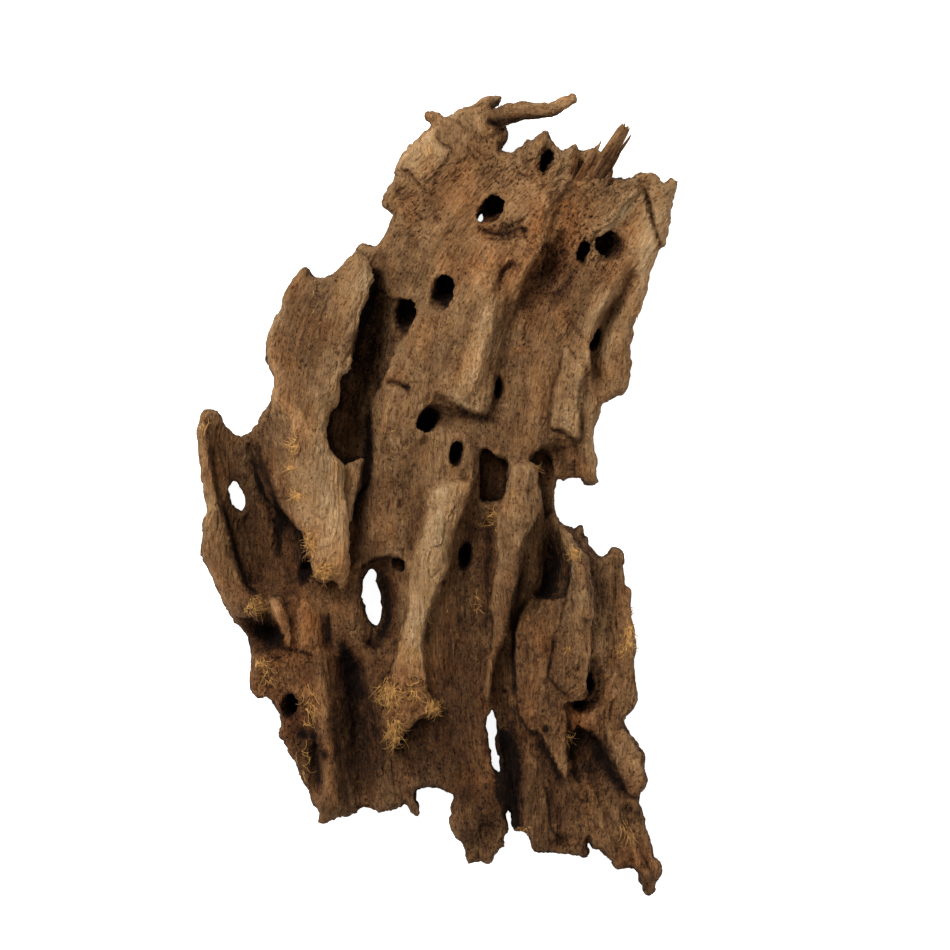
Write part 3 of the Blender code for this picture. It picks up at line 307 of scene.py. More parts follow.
# Grooves and hollows of the upper face, in the same terms, with depths for heights.
GROOVES = [
    ([(97, 108, 4), (88, 92, 8), (82, 80, 8), (80, 62, 5), (84, 54, 2)], 4, 4),
    ([(66, 150, 2), (63, 132, 7), (57, 114, 8), (49, 98, 4)], 9, 6),
    ([(70, 78, 2), (69, 72, 4), (68, 66, 0)], 4, 4),
    ([(66, 24, 5), (61, 20, 9), (64, 12, 8)], 5, 6),
    ([(22, 4, 2), (22, -20, 10), (19, -50, 10), (14, -85, 8), (12, -120, 5), (14, -150, 3)], 12, 13),
    ([(-32, 110, 3), (-33, 96, 12), (-35, 75, 13), (-38, 58, 12)], 8, 9),
    ([(-44, 46, 12), (-43, 30, 15), (-40, 14, 15), (-41, 0, 12), (-40, -20, 8)], 7, 9),
    ([(-35, 38, 6), (-34.5, 22, 14), (-36, 6, 10)], 3, 3),
    ([(-90, 24, 5), (-89, 8, 7), (-83, -6, 8), (-76, -16, 12), (-72, -30, 12), (-70, -40, 6)], 3, 5),
    ([(-103, 26, 4), (-96, 8, 8), (-92, -20, 10), (-86, -42, 8)], 12, 10),
    ([(-94, -66, 15), (-82, -69, 16), (-76, -78, 6)], 7, 7),
    ([(-46, -76, 5), (-42, -88, 17), (-38, -108, 22), (-38, -130, 18), (-36, -156, 14)], 8, 9),
    ([(-60, -126, 8), (-60, -148, 8)], 3.5, 3.5),
    ([(-30, -34, 12), (-27, -50, 17), (-27, -70, 12), (-30, -80, 4)], 9, 8),
    ([(55, -8, 6), (56.5, -20, 12), (57.5, -34, 17), (56, -46, 15), (48, -54, 8), (41, -64, 5)], 6, 5),
    ([(35, -74, 3), (34, -88, 4), (32, -100, 5), (36, -125, 11), (39, -145, 10), (40, -164, 4)], 5, 5),
    ([(80, -86, 3), (81.5, -93, 8), (80, -101, 9), (75, -105.5, 8), (71, -105.5, 3)], 3.4, 3.4),
    ([(104, 155, 6), (105.5, 150, 8), (107, 145, 8), (108, 140, 8), (111, 130, 8), (112, 124, 6)], 1.2, 1),
    ([(71, 160, 5), (72, 168, 8), (72, 174, 6)], 2, 2),
    ([(97, -156, 3), (96, -170, 4), (99, -182, 2)], 2, 2),
    ([(-24, 57.3, 3), (-19, 56.5, 4), (-13.7, 54.2, 4)], 1, 1),
    ([(2, 40, 8), (10, 38, 5), (20, 34, 1)], 5, 5),
]
# Soft rises and dips of the upper face: middle, half sizes, lean and height.
SWELLS = [
    ((20, 60), (60, 90), 0.2, 5), ((45, 140), (70, 45), 0.3, 6), ((-15, 10), (22, 45), 0, 5),
    ((0, 165), (25, 25), 0, 3), ((-17, 152), (6, 6), 0, -4), ((31, 184), (6, 5), 0, -5),
    ((-8, -132), (22, 22), 0, -6), ((54, 168), (5, 8), 0.4, -6), ((60, 143), (5, 10), 0.4, -5),
    ((33, 132), (12, 4), 0.2, -5), ((98, -72), (5, 14), 0, 5), ((66, -160), (22, 22), -0.4, -7),
    ((106, -190), (14, 18), 0, -7), ((27, -170), (7, 8), 0, -9), ((64, -174), (8, 4), 0, -5),
]
# Raised sheets of the upper face, and sunk ones: outline, rise, softness of the step, crown.
RAISED = [
    (FACET, 2.6, 0.8, 2), (MIDDLE_RIDGE, 10, 1.5, 2), (RIGHT_RIDGE, 11, 1.2, 2), (TERRACE, 8, 2, 3),
    (LEG_PLATE, 8, 1.1, 3), (EAR_RIM, 7, 1.5, 3), (STRIP, 3, 0.8, 2), (BAR, 7, 1, 2), (SLIVER, 4, 1.2, 2),
    (KNOB, 4.5, 1.2, 2), (HOLLOW, -7, 1.4, 0), (SQUARE_POCKET, -17, 1.1, 0), (ARCHED_POCKET, -12, 1.4, 0),
    (FORK_RECESS, -3, 1.5, 0),
]

# The spine of the left plate, as points of (x, y, height), and the limbs, as points of (x, y, z, radius).
PLATE_SPINE = [(-82, 60, 3), (-76, 46, 7), (-67, 33, 9), (-61, 15, 9), (-57, -8, 8), (-51, -32, 5)]
TOP_BRANCH = [
    (22, 183, 30, 6.5), (29, 188, 32, 5.4), (36, 190.6, 33, 5.1), (43, 192.2, 33, 4.6), (50, 192, 33, 4),
    (57, 192.6, 33, 3.5), (62, 194.8, 34, 3.1), (66, 197.2, 34, 2.7), (69.5, 198.8, 35, 2.6),
]
SPLINTER_STUB = [(84, 163, 30, 3), (88, 171, 33, 2.4), (91, 178, 36, 1.6)]
LEFT_LUMP = [(-80, 71, 26, 5), (-85, 72, 26, 3.4)]

# Lumps of the underside that are worn flat, as (middle, half sizes).
RESTING_LUMPS = [
    ((-60, 72), (18, 26)), ((72, 112), (22, 26)), ((72, -104), (20, 28)), ((-58, -110), (16, 28)),
    ((14, 162), (20, 20)), ((18, -158), (14, 18)), ((-98, -20), (14, 22)),
]

# The forks: where the lower right leg and the top branch part from the trunk, and the ground beyond each.
LEG_SEAM = [
    (59, -6), (56.5, -13), (54.5, -28), (51.5, -42), (46.5, -52), (42, -60), (38.5, -71), (35.5, -81),
    (32, -91), (29, -101), (28.2, -110), (29, -122), (31, -138), (34, -150), (36.6, -158), (36.8, -168),
]
LEG_BEYOND = [(36.8, -230), (140, -230), (140, -6)]
BRANCH_SEAM = [(37.5, 215), (37.5, 185)]
BRANCH_BEYOND = [(80, 185), (80, 215)]

# Worm bores: middle, half width, half length, lean to the right of +Y in degrees, floor height, drift of
# the foot.
BORES = {
    "bore_top_right": ((27.3, 142.7), 6, 8.6, 42, 14, (5, 7)),
    "bore_top_window": ((22.3, 139.8), 1.9, 3.4, 10, -5, (0, 0)),
    "bore_centre_right": ((2.8, 101.5), 6.3, 9.2, 15, 12, (6, 9)),
    "bore_centre_left": ((-16.8, 88.8), 6, 9.8, 17, 12, (5, 8)),
    "bore_edge_small": ((74, 121.5), 3.8, 6.5, 15, 14, (-1, 4)),
    "bore_edge_large": ((88.3, 124.3), 8.4, 7.4, 20, 18, (-9, 5)),
    "bore_right": ((80, 77), 3.6, 6.4, 15, 14, (-3, 5)),
    "bore_ridge": ((31.8, 53.2), 2.7, 5.9, 5, 18, (-2, 3)),
    "bore_slanting": ((-3.2, 38.6), 6, 9, 52, 12, (-7, -4)),
    "bore_low": ((10.8, 20.3), 4.1, 7, 10, 14, (-3, 5)),
    "bore_valley": ((14.6, -32), 3.3, 7.6, 5, 9, (0, 4)),
    "bore_tongue": ((-69, -39), 3.8, 6.6, 10, 11, (4, 2)),
    "bore_lower_left": ((-75, -106), 4.6, 7.2, 25, 12, (6, 4)),
    "bore_leg_upper": ((78, -94.4), 3.1, 6, -5, 14, (-3, 2)),
    "bore_leg_lower": ((73, -106), 4, 3.4, 0, 16, (-2, 3)),
    "bore_brim": ((55.5, 166.3), 3.4, 6.6, 25, 16, (-2, 4)),
    "bore_side": ((-19.5, -35.5), 4.2, 4.6, 0, 21, (2, 2)),
}


def smooth_loop(points, steps=2):
    """A closed Catmull-Rom curve through the points."""
    p = np.array(points, float)
    before, after, last = np.roll(p, 1, 0), np.roll(p, -1, 0), np.roll(p, -2, 0)
    rows = [
        0.5 * (2 * p + (after - before) * t + (2 * before - 5 * p + 4 * after - last) * t**2
               + (3 * p - before - 3 * after + last) * t**3)
        for t in np.arange(steps) / steps
    ]
    return np.stack(rows, 1).reshape(-1, 2)


def inside(x, y, loop):
    """Signed distance to a closed loop, positive inside it, and no less than -FAR outside."""
    loop = np.asarray(loop, float)
    low, high = loop.min(0) - FAR, loop.max(0) + FAR
    result = np.full(x.shape, -FAR)
    near = (x > low[0]) & (x < high[0]) & (y > low[1]) & (y < high[1])
    px, py = x[near], y[near]
    best, within = np.full(px.shape, 1e9), np.zeros(px.shape, bool)
    for a, b in zip(loop, np.roll(loop, -1, 0)):
        dx, dy = b - a
        t = np.clip(((px - a[0]) * dx + (py - a[1]) * dy) / (dx * dx + dy * dy + 1e-12), 0, 1)
        best = np.minimum(best, np.hypot(px - a[0] - t * dx, py - a[1] - t * dy))
        if dy:
            within ^= ((a[1] > py) != (b[1] > py)) & (px < dx * (py - a[1]) / dy + a[0])
    result[near] = np.where(within, best, -np.minimum(best, FAR))
    return result


def ease(value, low, high):
    """0 below low, 1 above high, and smooth between."""
    t = np.clip((value - low) / (high - low), 0, 1)
    return t * t * (3 - 2 * t)


def swell(x, y, centre, radii, lean=0.0):
    """A soft round rise of height 1. Its long axis leans by this slope of x over y."""
    u = (x - centre[0] - lean * (y - centre[1])) / radii[0]
    v = (y - centre[1]) / radii[1]
    return np.exp(-(u * u + v * v))


def ridge(x, y, line, left, right):
    """A crest along a line of (x, y, height). Left and right are its half widths, walking along it."""
    best, height = np.full(x.shape, 1e9), np.zeros(x.shape)
    for a, b in zip(line, line[1:]):
        dx, dy = b[0] - a[0], b[1] - a[1]
        t = np.clip(((x - a[0]) * dx + (y - a[1]) * dy) / (dx * dx + dy * dy), 0, 1)
        side = dx * (y - a[1]) - dy * (x - a[0])
        away = np.hypot(x - a[0] - t * dx, y - a[1] - t * dy) / np.where(side > 0, left, right)
        nearer = away < best
        best = np.where(nearer, away, best)
        height = np.where(nearer, a[2] + t * (b[2] - a[2]), height)
    return height * np.exp(-best * best)


def plate(x, y, loop, rise, soft, crown=0.0):
    """A raised sheet: a step as steep as its softness, and a crown towards its middle."""
    depth = inside(x, y, loop)
    return rise * ease(depth, -soft, soft) + crown * ease(depth, 0, 12)


def grain(x, y):
    """How far across the grain a point lies: the grain leans right at the top and left at the foot."""
    across = x - np.where(y > 0, 0.05 * y + 1.2e-5 * np.clip(y, 0, 170)**3, 0.05 * y + 0.0007 * y * y)
    return across - 0.25 * (y + 90) * ease(x, 30, 60) * ease(-y, 60, 110)


def streaks(x, y, size, seed):
    """Smooth unrepeating furrows that follow the grain, from -1 to 1."""
    across = grain(x, y)
    bend = np.sin(y / (9.1 * size) + seed) + 0.7 * np.sin(y / (5.3 * size) + 2.1 * seed)
    a = np.sin(across / size + 1.3 * bend + seed * 1.7)
    b = np.sin(across / (1.7 * size) - 0.9 * bend + seed * 3.1)
    return 0.5 * (a + b)


def body_top(x, y):
    """Height of the upper face of the trunk and the leg."""
    z = 29 + 1.1 * streaks(x, y, 2.6, 1.0) + 0.8 * streaks(x, y, 6.0, 4.0)
    for middle, radii, lean, height in SWELLS:
        z += height * swell(x, y, middle, radii, lean)
    for line, left, right in CRESTS:
        z += ridge(x, y, line, left, right)
    for line, left, right in GROOVES:
        z -= ridge(x, y, line, left, right)
    for loop, rise, soft, crown in RAISED:
        z += plate(x, y, loop, rise, CRISP * soft, crown)
    z += plate(x, y, CENTRE_PLATE, 5, 2, 4) * ease(y, 0, 46)
    z -= 4 * plate(x, y, SCOOP, 1, 0.9) * ease(y, 96, 110)
    z -= 10 * plate(x, y, ARCHED_HOLLOW, 1, 1.3) * ease(y, -158, -130)
    z -= 11 * ease(-x, 46, 62) * ease(y, -60, -40) * ease(-y, -110, -60)
    z -= 5 * ease(x, 78, 96) * ease(-y, 30, 50) * ease(y, -125, -105)
    return z


def body_under(x, y):
    """Height of the lower face of the trunk and the leg: weathered and hollow, down on worn lumps."""
    z = 6.5 + 2.2 * np.sin(x / 17 + 0.8) * np.sin(y / 29 - 0.4) + 1.5 * np.sin(x / 9.7 - y / 23)
    z += 4 * swell(x, y, (0, 30), (40, 70)) + 3 * swell(x, y, (0, -80), (25, 50))
    z += 0.8 * streaks(x, y, 4.5, 7.0)
    for centre, radii in RESTING_LUMPS:
        z -= 15 * swell(x, y, centre, radii)
    return z


def lattice(ix, iy, iz, seed):
    """A repeatable pseudo-random number from 0 to 1 for each lattice corner."""
    h = (ix * 374761393 + iy * 668265263 + iz * 2147483647 + seed * 1274126177) & 0xFFFFFFFF
    h = ((h ^ (h >> 13)) * 1103515245) & 0xFFFFFFFF
    h = ((h ^ (h >> 16)) * 2246822519) & 0xFFFFFFFF
    return ((h ^ (h >> 15)) & 0xFFFF) / 65535.0


def noise(u, v, w, seed=0):
    """Smooth noise from -1 to 1 with one feature for each unit of its coordinates."""
    cell = [np.floor(c).astype(np.int64) for c in (u, v, w)]
    part = [c - f for c, f in zip((u, v, w), cell)]
    soft = [p * p * p * (p * (p * 6 - 15) + 10) for p in part]
    total = np.zeros(np.shape(u))
    for dx in (0, 1):
        for dy in (0, 1):
            for dz in (0, 1):
                weight = (soft[0] if dx else 1 - soft[0]) * (soft[1] if dy else 1 - soft[1])
                weight = weight * (soft[2] if dz else 1 - soft[2])
                total += weight * lattice(cell[0] + dx, cell[1] + dy, cell[2] + dz, seed)
    return 2 * total - 1


def layered(u, v, w, seed=0, octaves=3, gain=0.5):
    """Noise with finer and weaker noise laid over it, one octave after another."""
    total, size = 0, 1.0
    for k in range(octaves):
        total = total + size * noise(u * 2**k, v * 2**k, w * 2**k, seed + 17 * k)
        size *= gain
    return total


def grain_frame(points):
    """Coordinates across the grain, along it and in depth. On the top branch the grain runs to the right."""
    x, y, z = points.T
    on_branch = ease(x, 26, 34) * ease(y, 183, 187)
    return grain(x, y) * (1 - on_branch) + y * on_branch, y * (1 - on_branch) + x * on_branch, z


def new_object(name, mesh, material=None):
    """An object in the scene, made of one material where one is given."""
    piece = bpy.data.objects.new(name, mesh)
    bpy.context.scene.collection.objects.link(piece)
    if material:
        mesh.materials.clear()
        mesh.materials.append(material)
    return piece


def drop(piece):
    """Takes a helper object out of the scene again."""
    bpy.data.objects.remove(piece, do_unlink=True)


def evaluated(piece, name, weld=True):
    """The mesh of an object as its modifiers leave it, in place of the object."""
    bpy.context.view_layer.update()
    mesh = bpy.data.meshes.new_from_object(piece.evaluated_get(bpy.context.evaluated_depsgraph_get()))
    mesh.name = name
    mesh.transform(piece.matrix_world)
    if weld:
        work = bmesh.new()
        work.from_mesh(mesh)
        bmesh.ops.remove_doubles(work, verts=work.verts, dist=WELD)
        bmesh.ops.recalc_face_normals(work, faces=work.faces)
        work.to_mesh(mesh)
        work.free()
    drop(piece)
    return mesh


def prism(name, loops, low, high):
    """A flat outline, with any openings inside it, filled and extruded from one height to another."""
    curve = bpy.data.curves.new(name, "CURVE")
    curve.dimensions = "2D"
    curve.fill_mode = "BOTH"
    curve.extrude = 0.5 * (high - low) * MM
    for loop in loops:
        spline = curve.splines.new("POLY")
        spline.points.add(len(loop) - 1)
        for point, (x, y) in zip(spline.points, loop):
            point.co = (x * MM, y * MM, 0, 1)
        spline.use_cyclic_u = True
    piece = new_object(name, curve)
    piece.location.z = 0.5 * (low + high) * MM
    return evaluated(piece, name)


def remeshed(mesh, size):
    """The mesh made anew as one closed skin of even grain."""
    piece = new_object(mesh.name, mesh)
    remesh = piece.modifiers.new("voxels", "REMESH")
    remesh.mode = "VOXEL"
    remesh.voxel_size = size
    return evaluated(piece, mesh.name, weld=False)


def points_of(mesh):
    """The mesh's corners, in millimetres."""
    co = np.empty(len(mesh.vertices) * 3)
    mesh.vertices.foreach_get("co", co)
    return co.reshape(-1, 3) / MM


def place(mesh, points):
    """Moves the mesh's corners to these points, in millimetres."""
    mesh.vertices.foreach_set("co", (points * MM).ravel())
    mesh.update()


def normals_of(mesh):
    """The way each corner of the mesh faces."""
    found = np.empty(len(mesh.vertices) * 3)
    mesh.vertex_normals.foreach_get("vector", found)
    return found.reshape(-1, 3)


def sheet(name, loops, under, top, rounding=3.0):
    """A sheet with this outline. Its two faces follow the given heights and draw together at its edge."""
    mesh = remeshed(prism(name, [ragged(loop) for loop in loops], 0, SHEET), VOXEL)
    points = points_of(mesh)
    x, y = points[:, 0], points[:, 1]
    thin = (1 - np.clip(inside(x, y, loops[0]) / rounding, 0, 1))**2
    low = under(x, y)
    high = np.maximum(top(x, y), low + THINNEST)
    span = high - low
    high = high - EDGE_DRAW * span * thin
    low = np.maximum(low, 0) + EDGE_DRAW * span * thin
    points[:, 2] = low + np.clip(points[:, 2] / SHEET, 0, 1) * (high - low)
    place(mesh, points)
    return mesh


def limb(name, points):
    """A round limb through points of (x, y, z, radius), closed at both ends."""
    curve = bpy.data.curves.new(name, "CURVE")
    curve.dimensions = "3D"
    curve.bevel_depth = MM
    curve.bevel_resolution = LIMB_ROUNDNESS
    curve.use_fill_caps = True
    spline = curve.splines.new("POLY")
    spline.points.add(len(points) - 1)
    for point, (x, y, z, radius) in zip(spline.points, points):
        point.co = (x * MM, y * MM, z * MM, 1)
        point.radius = radius
    return evaluated(new_object(name, curve), name)


def bore(name, middle, wide, long, lean, floor, drift):
    """A leaning oval tunnel that narrows towards its foot, with a ragged wall."""
    height = BORE_MOUTH - floor
    work = bmesh.new()
    bmesh.ops.create_cone(work, cap_ends=True, segments=BORE_SEGMENTS, radius1=0.85, radius2=1.22, depth=1)
    turn = Matrix.Rotation(-math.radians(lean), 4, "Z")
    for k, vertex in enumerate(work.verts):
        share = vertex.co.z + 0.5
        worn = 1 + 0.07 * math.sin(2.7 * k + middle[0]) + 0.05 * math.sin(1.1 * k + middle[1])
        flat = turn @ Vector((vertex.co.x * wide, vertex.co.y * long, 0)) * worn
        depth = 1 - share * height / (BORE_MIDDLE - floor)
        x = middle[0] + flat.x + drift[0] * depth
        y = middle[1] + flat.y + drift[1] * depth
        vertex.co = Vector((x, y, floor + share * height)) * MM
    mesh = bpy.data.meshes.new(name)
    work.to_mesh(mesh)
    work.free()
    return mesh


def joined(name, meshes):
    """One mesh of all of these, which go."""
    work = bmesh.new()
    for mesh in meshes:
        work.from_mesh(mesh)
        bpy.data.meshes.remove(mesh)
    mesh = bpy.data.meshes.new(name)
    work.to_mesh(mesh)
    work.free()
    return mesh


def cut(mesh, cutters, operation="DIFFERENCE"):
    """The mesh cut by each cutter in turn. All are closed, as the manifold solver needs."""
    piece = new_object(mesh.name, mesh)
    tools = [new_object(cutter.name, cutter) for cutter in cutters]
    for tool in tools:
        modifier = piece.modifiers.new(tool.name, "BOOLEAN")
        modifier.operation = operation
        modifier.solver = "MANIFOLD"
        modifier.object = tool
    result = evaluated(piece, mesh.name, weld=False)
    for tool in tools:
        drop(tool)
    return result


def plate_top(x, y):
    """Height of the left plate's upper face: highest along a spine, falling to the tongue's tip."""
    z = 45 + 10 * swell(x, y, (-58, 66), (34, 70), 0.15) - 5 * ease(-x, 60, 84)
    z += ridge(x, y, PLATE_SPINE, 10, 9)
    z -= ridge(x, y, [(-52, 44, 5), (-60, 40, 4), (-68, 48, 2)], 7, 6)
    z -= (5 * ease(-x, 69, 72) + 9 * ease(-x, 70, 84)) * ease(-y, -56, -30) + 4 * ease(-y, 20, 48)
    return z + 1.2 * streaks(x, y, 3.0, 2.0) + 0.8 * streaks(x, y, 7.0, 5.0)


def plate_under(x, y):
    """Its lower face: into the trunk on the left, a thin lip on the right."""
    lip = ease(x, -70 + 0.16 * (y - 30), -50 + 0.16 * (y - 30))
    return 16 + lip * (plate_top(x, y) - 9 - 16) * ease(y, -55, -30)


def ledges(x, y):
    """Crisp broken edges: the face drops on one side of each line and comes back beyond it."""
    return sum(ridge(x, y, line, left, right) for line, left, right in LEDGES)


def skin():
    """The whole root as one closed skin, bored and evenly meshed, before its fine relief."""
    loops = [smooth_loop(loop, 4) for loop in (OUTLINE, EAR_WINDOW, LONG_WINDOW, LEG_SLIT)]
    whole = joined("root", [
        sheet("body", loops, body_under, lambda x, y: body_top(x, y) - ledges(x, y)),
        sheet("left_plate", [smooth_loop(LEFT_PLATE, 4)], plate_under, plate_top, 2.5),
        sheet("side_plate", [smooth_loop(SIDE_PLATE)], lambda x, y: 0 * x + 30, lambda x, y: 0 * x + 40,
              2.5),
        limb("top_branch", TOP_BRANCH),
        limb("splinter_stub", SPLINTER_STUB),
        limb("left_lump", LEFT_LUMP),
    ])
    whole = remeshed(whole, VOXEL)
    whole = cut(whole, [bore(name, *shape) for name, shape in BORES.items()])
    return remeshed(whole, SKIN_VOXEL)


def painted(x, y, patches):
    """The sum of soft patches of (middle, half sizes, lean, strength)."""
    return sum(change * swell(x, y, middle, radii, lean) for middle, radii, lean, change in patches)


def ragged(loop):
    """The outline with small chips along it, between points about a millimetre apart."""
    fine = []
    for (ax, ay), (bx, by) in zip(loop, np.roll(loop, -1, 0)):
        count = max(1, int(math.hypot(bx - ax, by - ay) / CHIP_STEP))
        fine += [(ax + (bx - ax) * k / count, ay + (by - ay) * k / count) for k in range(count)]
    points = np.array(fine)
    x, y = points.T
    flat = np.zeros(len(x))
    chips = np.stack([layered(x / 4.5, y / 4.5, flat, seed, 3, 0.7) for seed in (61, 67)], 1)
    return [tuple(point) for point in points + CHIPS * chips]


def decay(x, y):
    """How rotted and pitted the wood is at each place: 0 smooth, 1 crumbled."""
    return np.clip(0.22 + painted(x, y, DECAY) + 0.12 * layered(x / 14, y / 18, 0 * x, 91, 2), 0, 1)


def fine_relief(mesh):
    """Flakes, furrows, cracks and crumbled pits, pushed into the skin along its normals."""
    points, normals = points_of(mesh), normals_of(mesh)
    x, y, z = points.T
    bent = 3.0 * layered(x / 22, y / 30, z / 22, 51, 2)
    u, v, w = grain_frame(points)
    u = u + bent
    rot = decay(x, y)
    sound = 1 - 0.6 * rot
    field = 2.6 * layered(u / 11, v / 42, w / 14, 13, 3)
    level = np.floor(field)
    flakes = level + ease(field - level, 0.40, 0.60) - field
    fibre = layered(u / 2.4, v / 16, w / 3.0, 3, 3, 0.6)
    crest = 1 - 2 * np.abs(layered(u / 7.0, v / 30, w / 9.0, 11, 2))
    split = np.abs(noise(u / 6.5, v / 48, w / 9.0, 23))
    open_split = ease(noise(u / 9, v / 26, w / 9, 29), 0.0, 0.35)
    lumps = layered(x / 9, y / 12, z / 9, 31, 3)
    crumbs = layered(x / 4.2, y / 5.2, z / 4.2, 37, 4, 0.7)
    pits = ease(noise(u / 2.3, v / 3.2, w / 2.6, 41), 0.26, 0.6)
    push = sound * (0.30 * fibre + 0.35 * crest + 1.1 * flakes) + 0.4 * lumps + 1.15 * rot * crumbs
    push -= 1.4 * (1 - ease(split, 0, 0.05)) * open_split + 1.9 * rot * pits
    place(mesh, points + normals * (push * ease(z, 0.3, 4))[:, None])


def blur(grid, size):
    """The mean over a square of that half size, by running sums."""
    for axis in (0, 1):
        padded = np.concatenate([np.repeat(grid.take([0], axis), size + 1, axis), grid,
                                 np.repeat(grid.take([-1], axis), size, axis)], axis)
        sums = np.cumsum(padded, axis)
        n = grid.shape[axis]
        top = sums.take(np.arange(2 * size + 1, 2 * size + 1 + n), axis)
        grid = (top - sums.take(np.arange(0, n), axis)) / (2 * size + 1)
    return grid


def height_above_neighbours(points, size, step):
    """How far each point stands above the mean height of the face around it, on a grid of that step."""
    low = points.min(0) - 3
    shape = np.ceil((points.max(0) - low) / step).astype(int) + 2
    column = ((points[:, 0] - low[0]) / step).astype(int)
    row = ((points[:, 1] - low[1]) / step).astype(int)
    highest = np.zeros((shape[0], shape[1]))
    np.maximum.at(highest, (column, row), points[:, 2])
    filled = (highest > 0).astype(float)
    reach = int(size / step)
    share = blur(filled, reach)
    mean = blur(highest, reach) / np.maximum(share, 0.02)
    return (points[:, 2] - mean[column, row]) * ease(share, 0.6, 0.95)[column, row]


def linear(red, green, blue):
    """A colour given as it looks on screen, 0 to 255, as the light values that shaders take."""
    shares = [c / 255 for c in (red, green, blue)]
    return tuple(s / 12.92 if s <= 0.04 else ((s + 0.055) / 1.055)**2.4 for s in shares)


# Tones of the wood, darkest first, as (place on the scale of tones, colour).
TONES = [
    (0.0, linear(20, 11, 6)), (0.14, linear(44, 28, 16)), (0.3, linear(76, 50, 30)),
    (0.45, linear(106, 75, 47)), (0.6, linear(136, 100, 65)), (0.75, linear(164, 126, 85)),
    (0.9, linear(188, 150, 106)), (1.0, linear(206, 172, 128)),
]


class Nodes:
    """A short way to write a material's node tree."""

    def __init__(self, name):
        self.material = bpy.data.materials.new(name)
        self.material.use_nodes = True
        self.tree = self.material.node_tree
        self.shader = self.tree.nodes["Principled BSDF"]

    def add(self, kind, links=(), **values):
        node = self.tree.nodes.new(kind)
        for key, value in values.items():
            setattr(node, key, value)
        for socket, source in dict(links).items():
            if isinstance(source, bpy.types.NodeSocket):
                self.tree.links.new(source, node.inputs[socket])
            else:
                node.inputs[socket].default_value = source
        return node

    def attribute(self, name):
        return self.add("ShaderNodeAttribute", attribute_name=name)

    def stretched_noise(self, vector, scale, detail, roughness=0.6, distortion=0.0):
        """Noise whose features are this many millimetres long along each grain axis."""
        mapping = self.add("ShaderNodeMapping", {"Vector": vector, "Scale": tuple(1 / s for s in scale)})
        return self.add("ShaderNodeTexNoise", {
            "Vector": mapping.outputs["Vector"], "Scale": 1.0, "Detail": detail, "Roughness": roughness,
            "Distortion": distortion}).outputs["Fac"]

    def math(self, operation, a, b=0.0, c=0.0, clamp=False):
        node = self.add("ShaderNodeMath", {0: a, 1: b, 2: c}, operation=operation)
        node.use_clamp = clamp
        return node.outputs[0]

    def mix(self, fac, a, b, blend="MIX"):
        node = self.add("ShaderNodeMix", data_type="RGBA", blend_type=blend)
        for socket, kind, source in (("Factor", "VALUE", fac), ("A", "RGBA", a), ("B", "RGBA", b)):
            found = next(s for s in node.inputs if s.name == socket and s.type == kind)
            if isinstance(source, bpy.types.NodeSocket):
                self.tree.links.new(source, found)
            else:
                found.default_value = source if kind == "VALUE" else (*source, 1)
        return next(s for s in node.outputs if s.type == "RGBA")

    def swayed(self, value, noise, by):
        """The value, moved up and down by a noise of this strength."""
        return self.math("MULTIPLY_ADD", self.math("SUBTRACT", noise, 0.5), by, value)

    def above(self, noise, level, slope):
        """0 where the noise is below the level, and up to 1 above it, with that slope."""
        return self.math("MULTIPLY", self.math("SUBTRACT", noise, level), slope, clamp=True)

    def below(self, noise, level, slope):
        """0 where the noise is above the level, and up to 1 below it, with that slope."""
        return self.math("MULTIPLY", self.math("SUBTRACT", level, noise), slope, clamp=True)

    def tinted(self, colour, share, factors):
        """The colour, of which that share is multiplied by these factors of red, green and blue."""
        return self.mix(share, colour, self.mix(1.0, colour, factors, "MULTIPLY"))


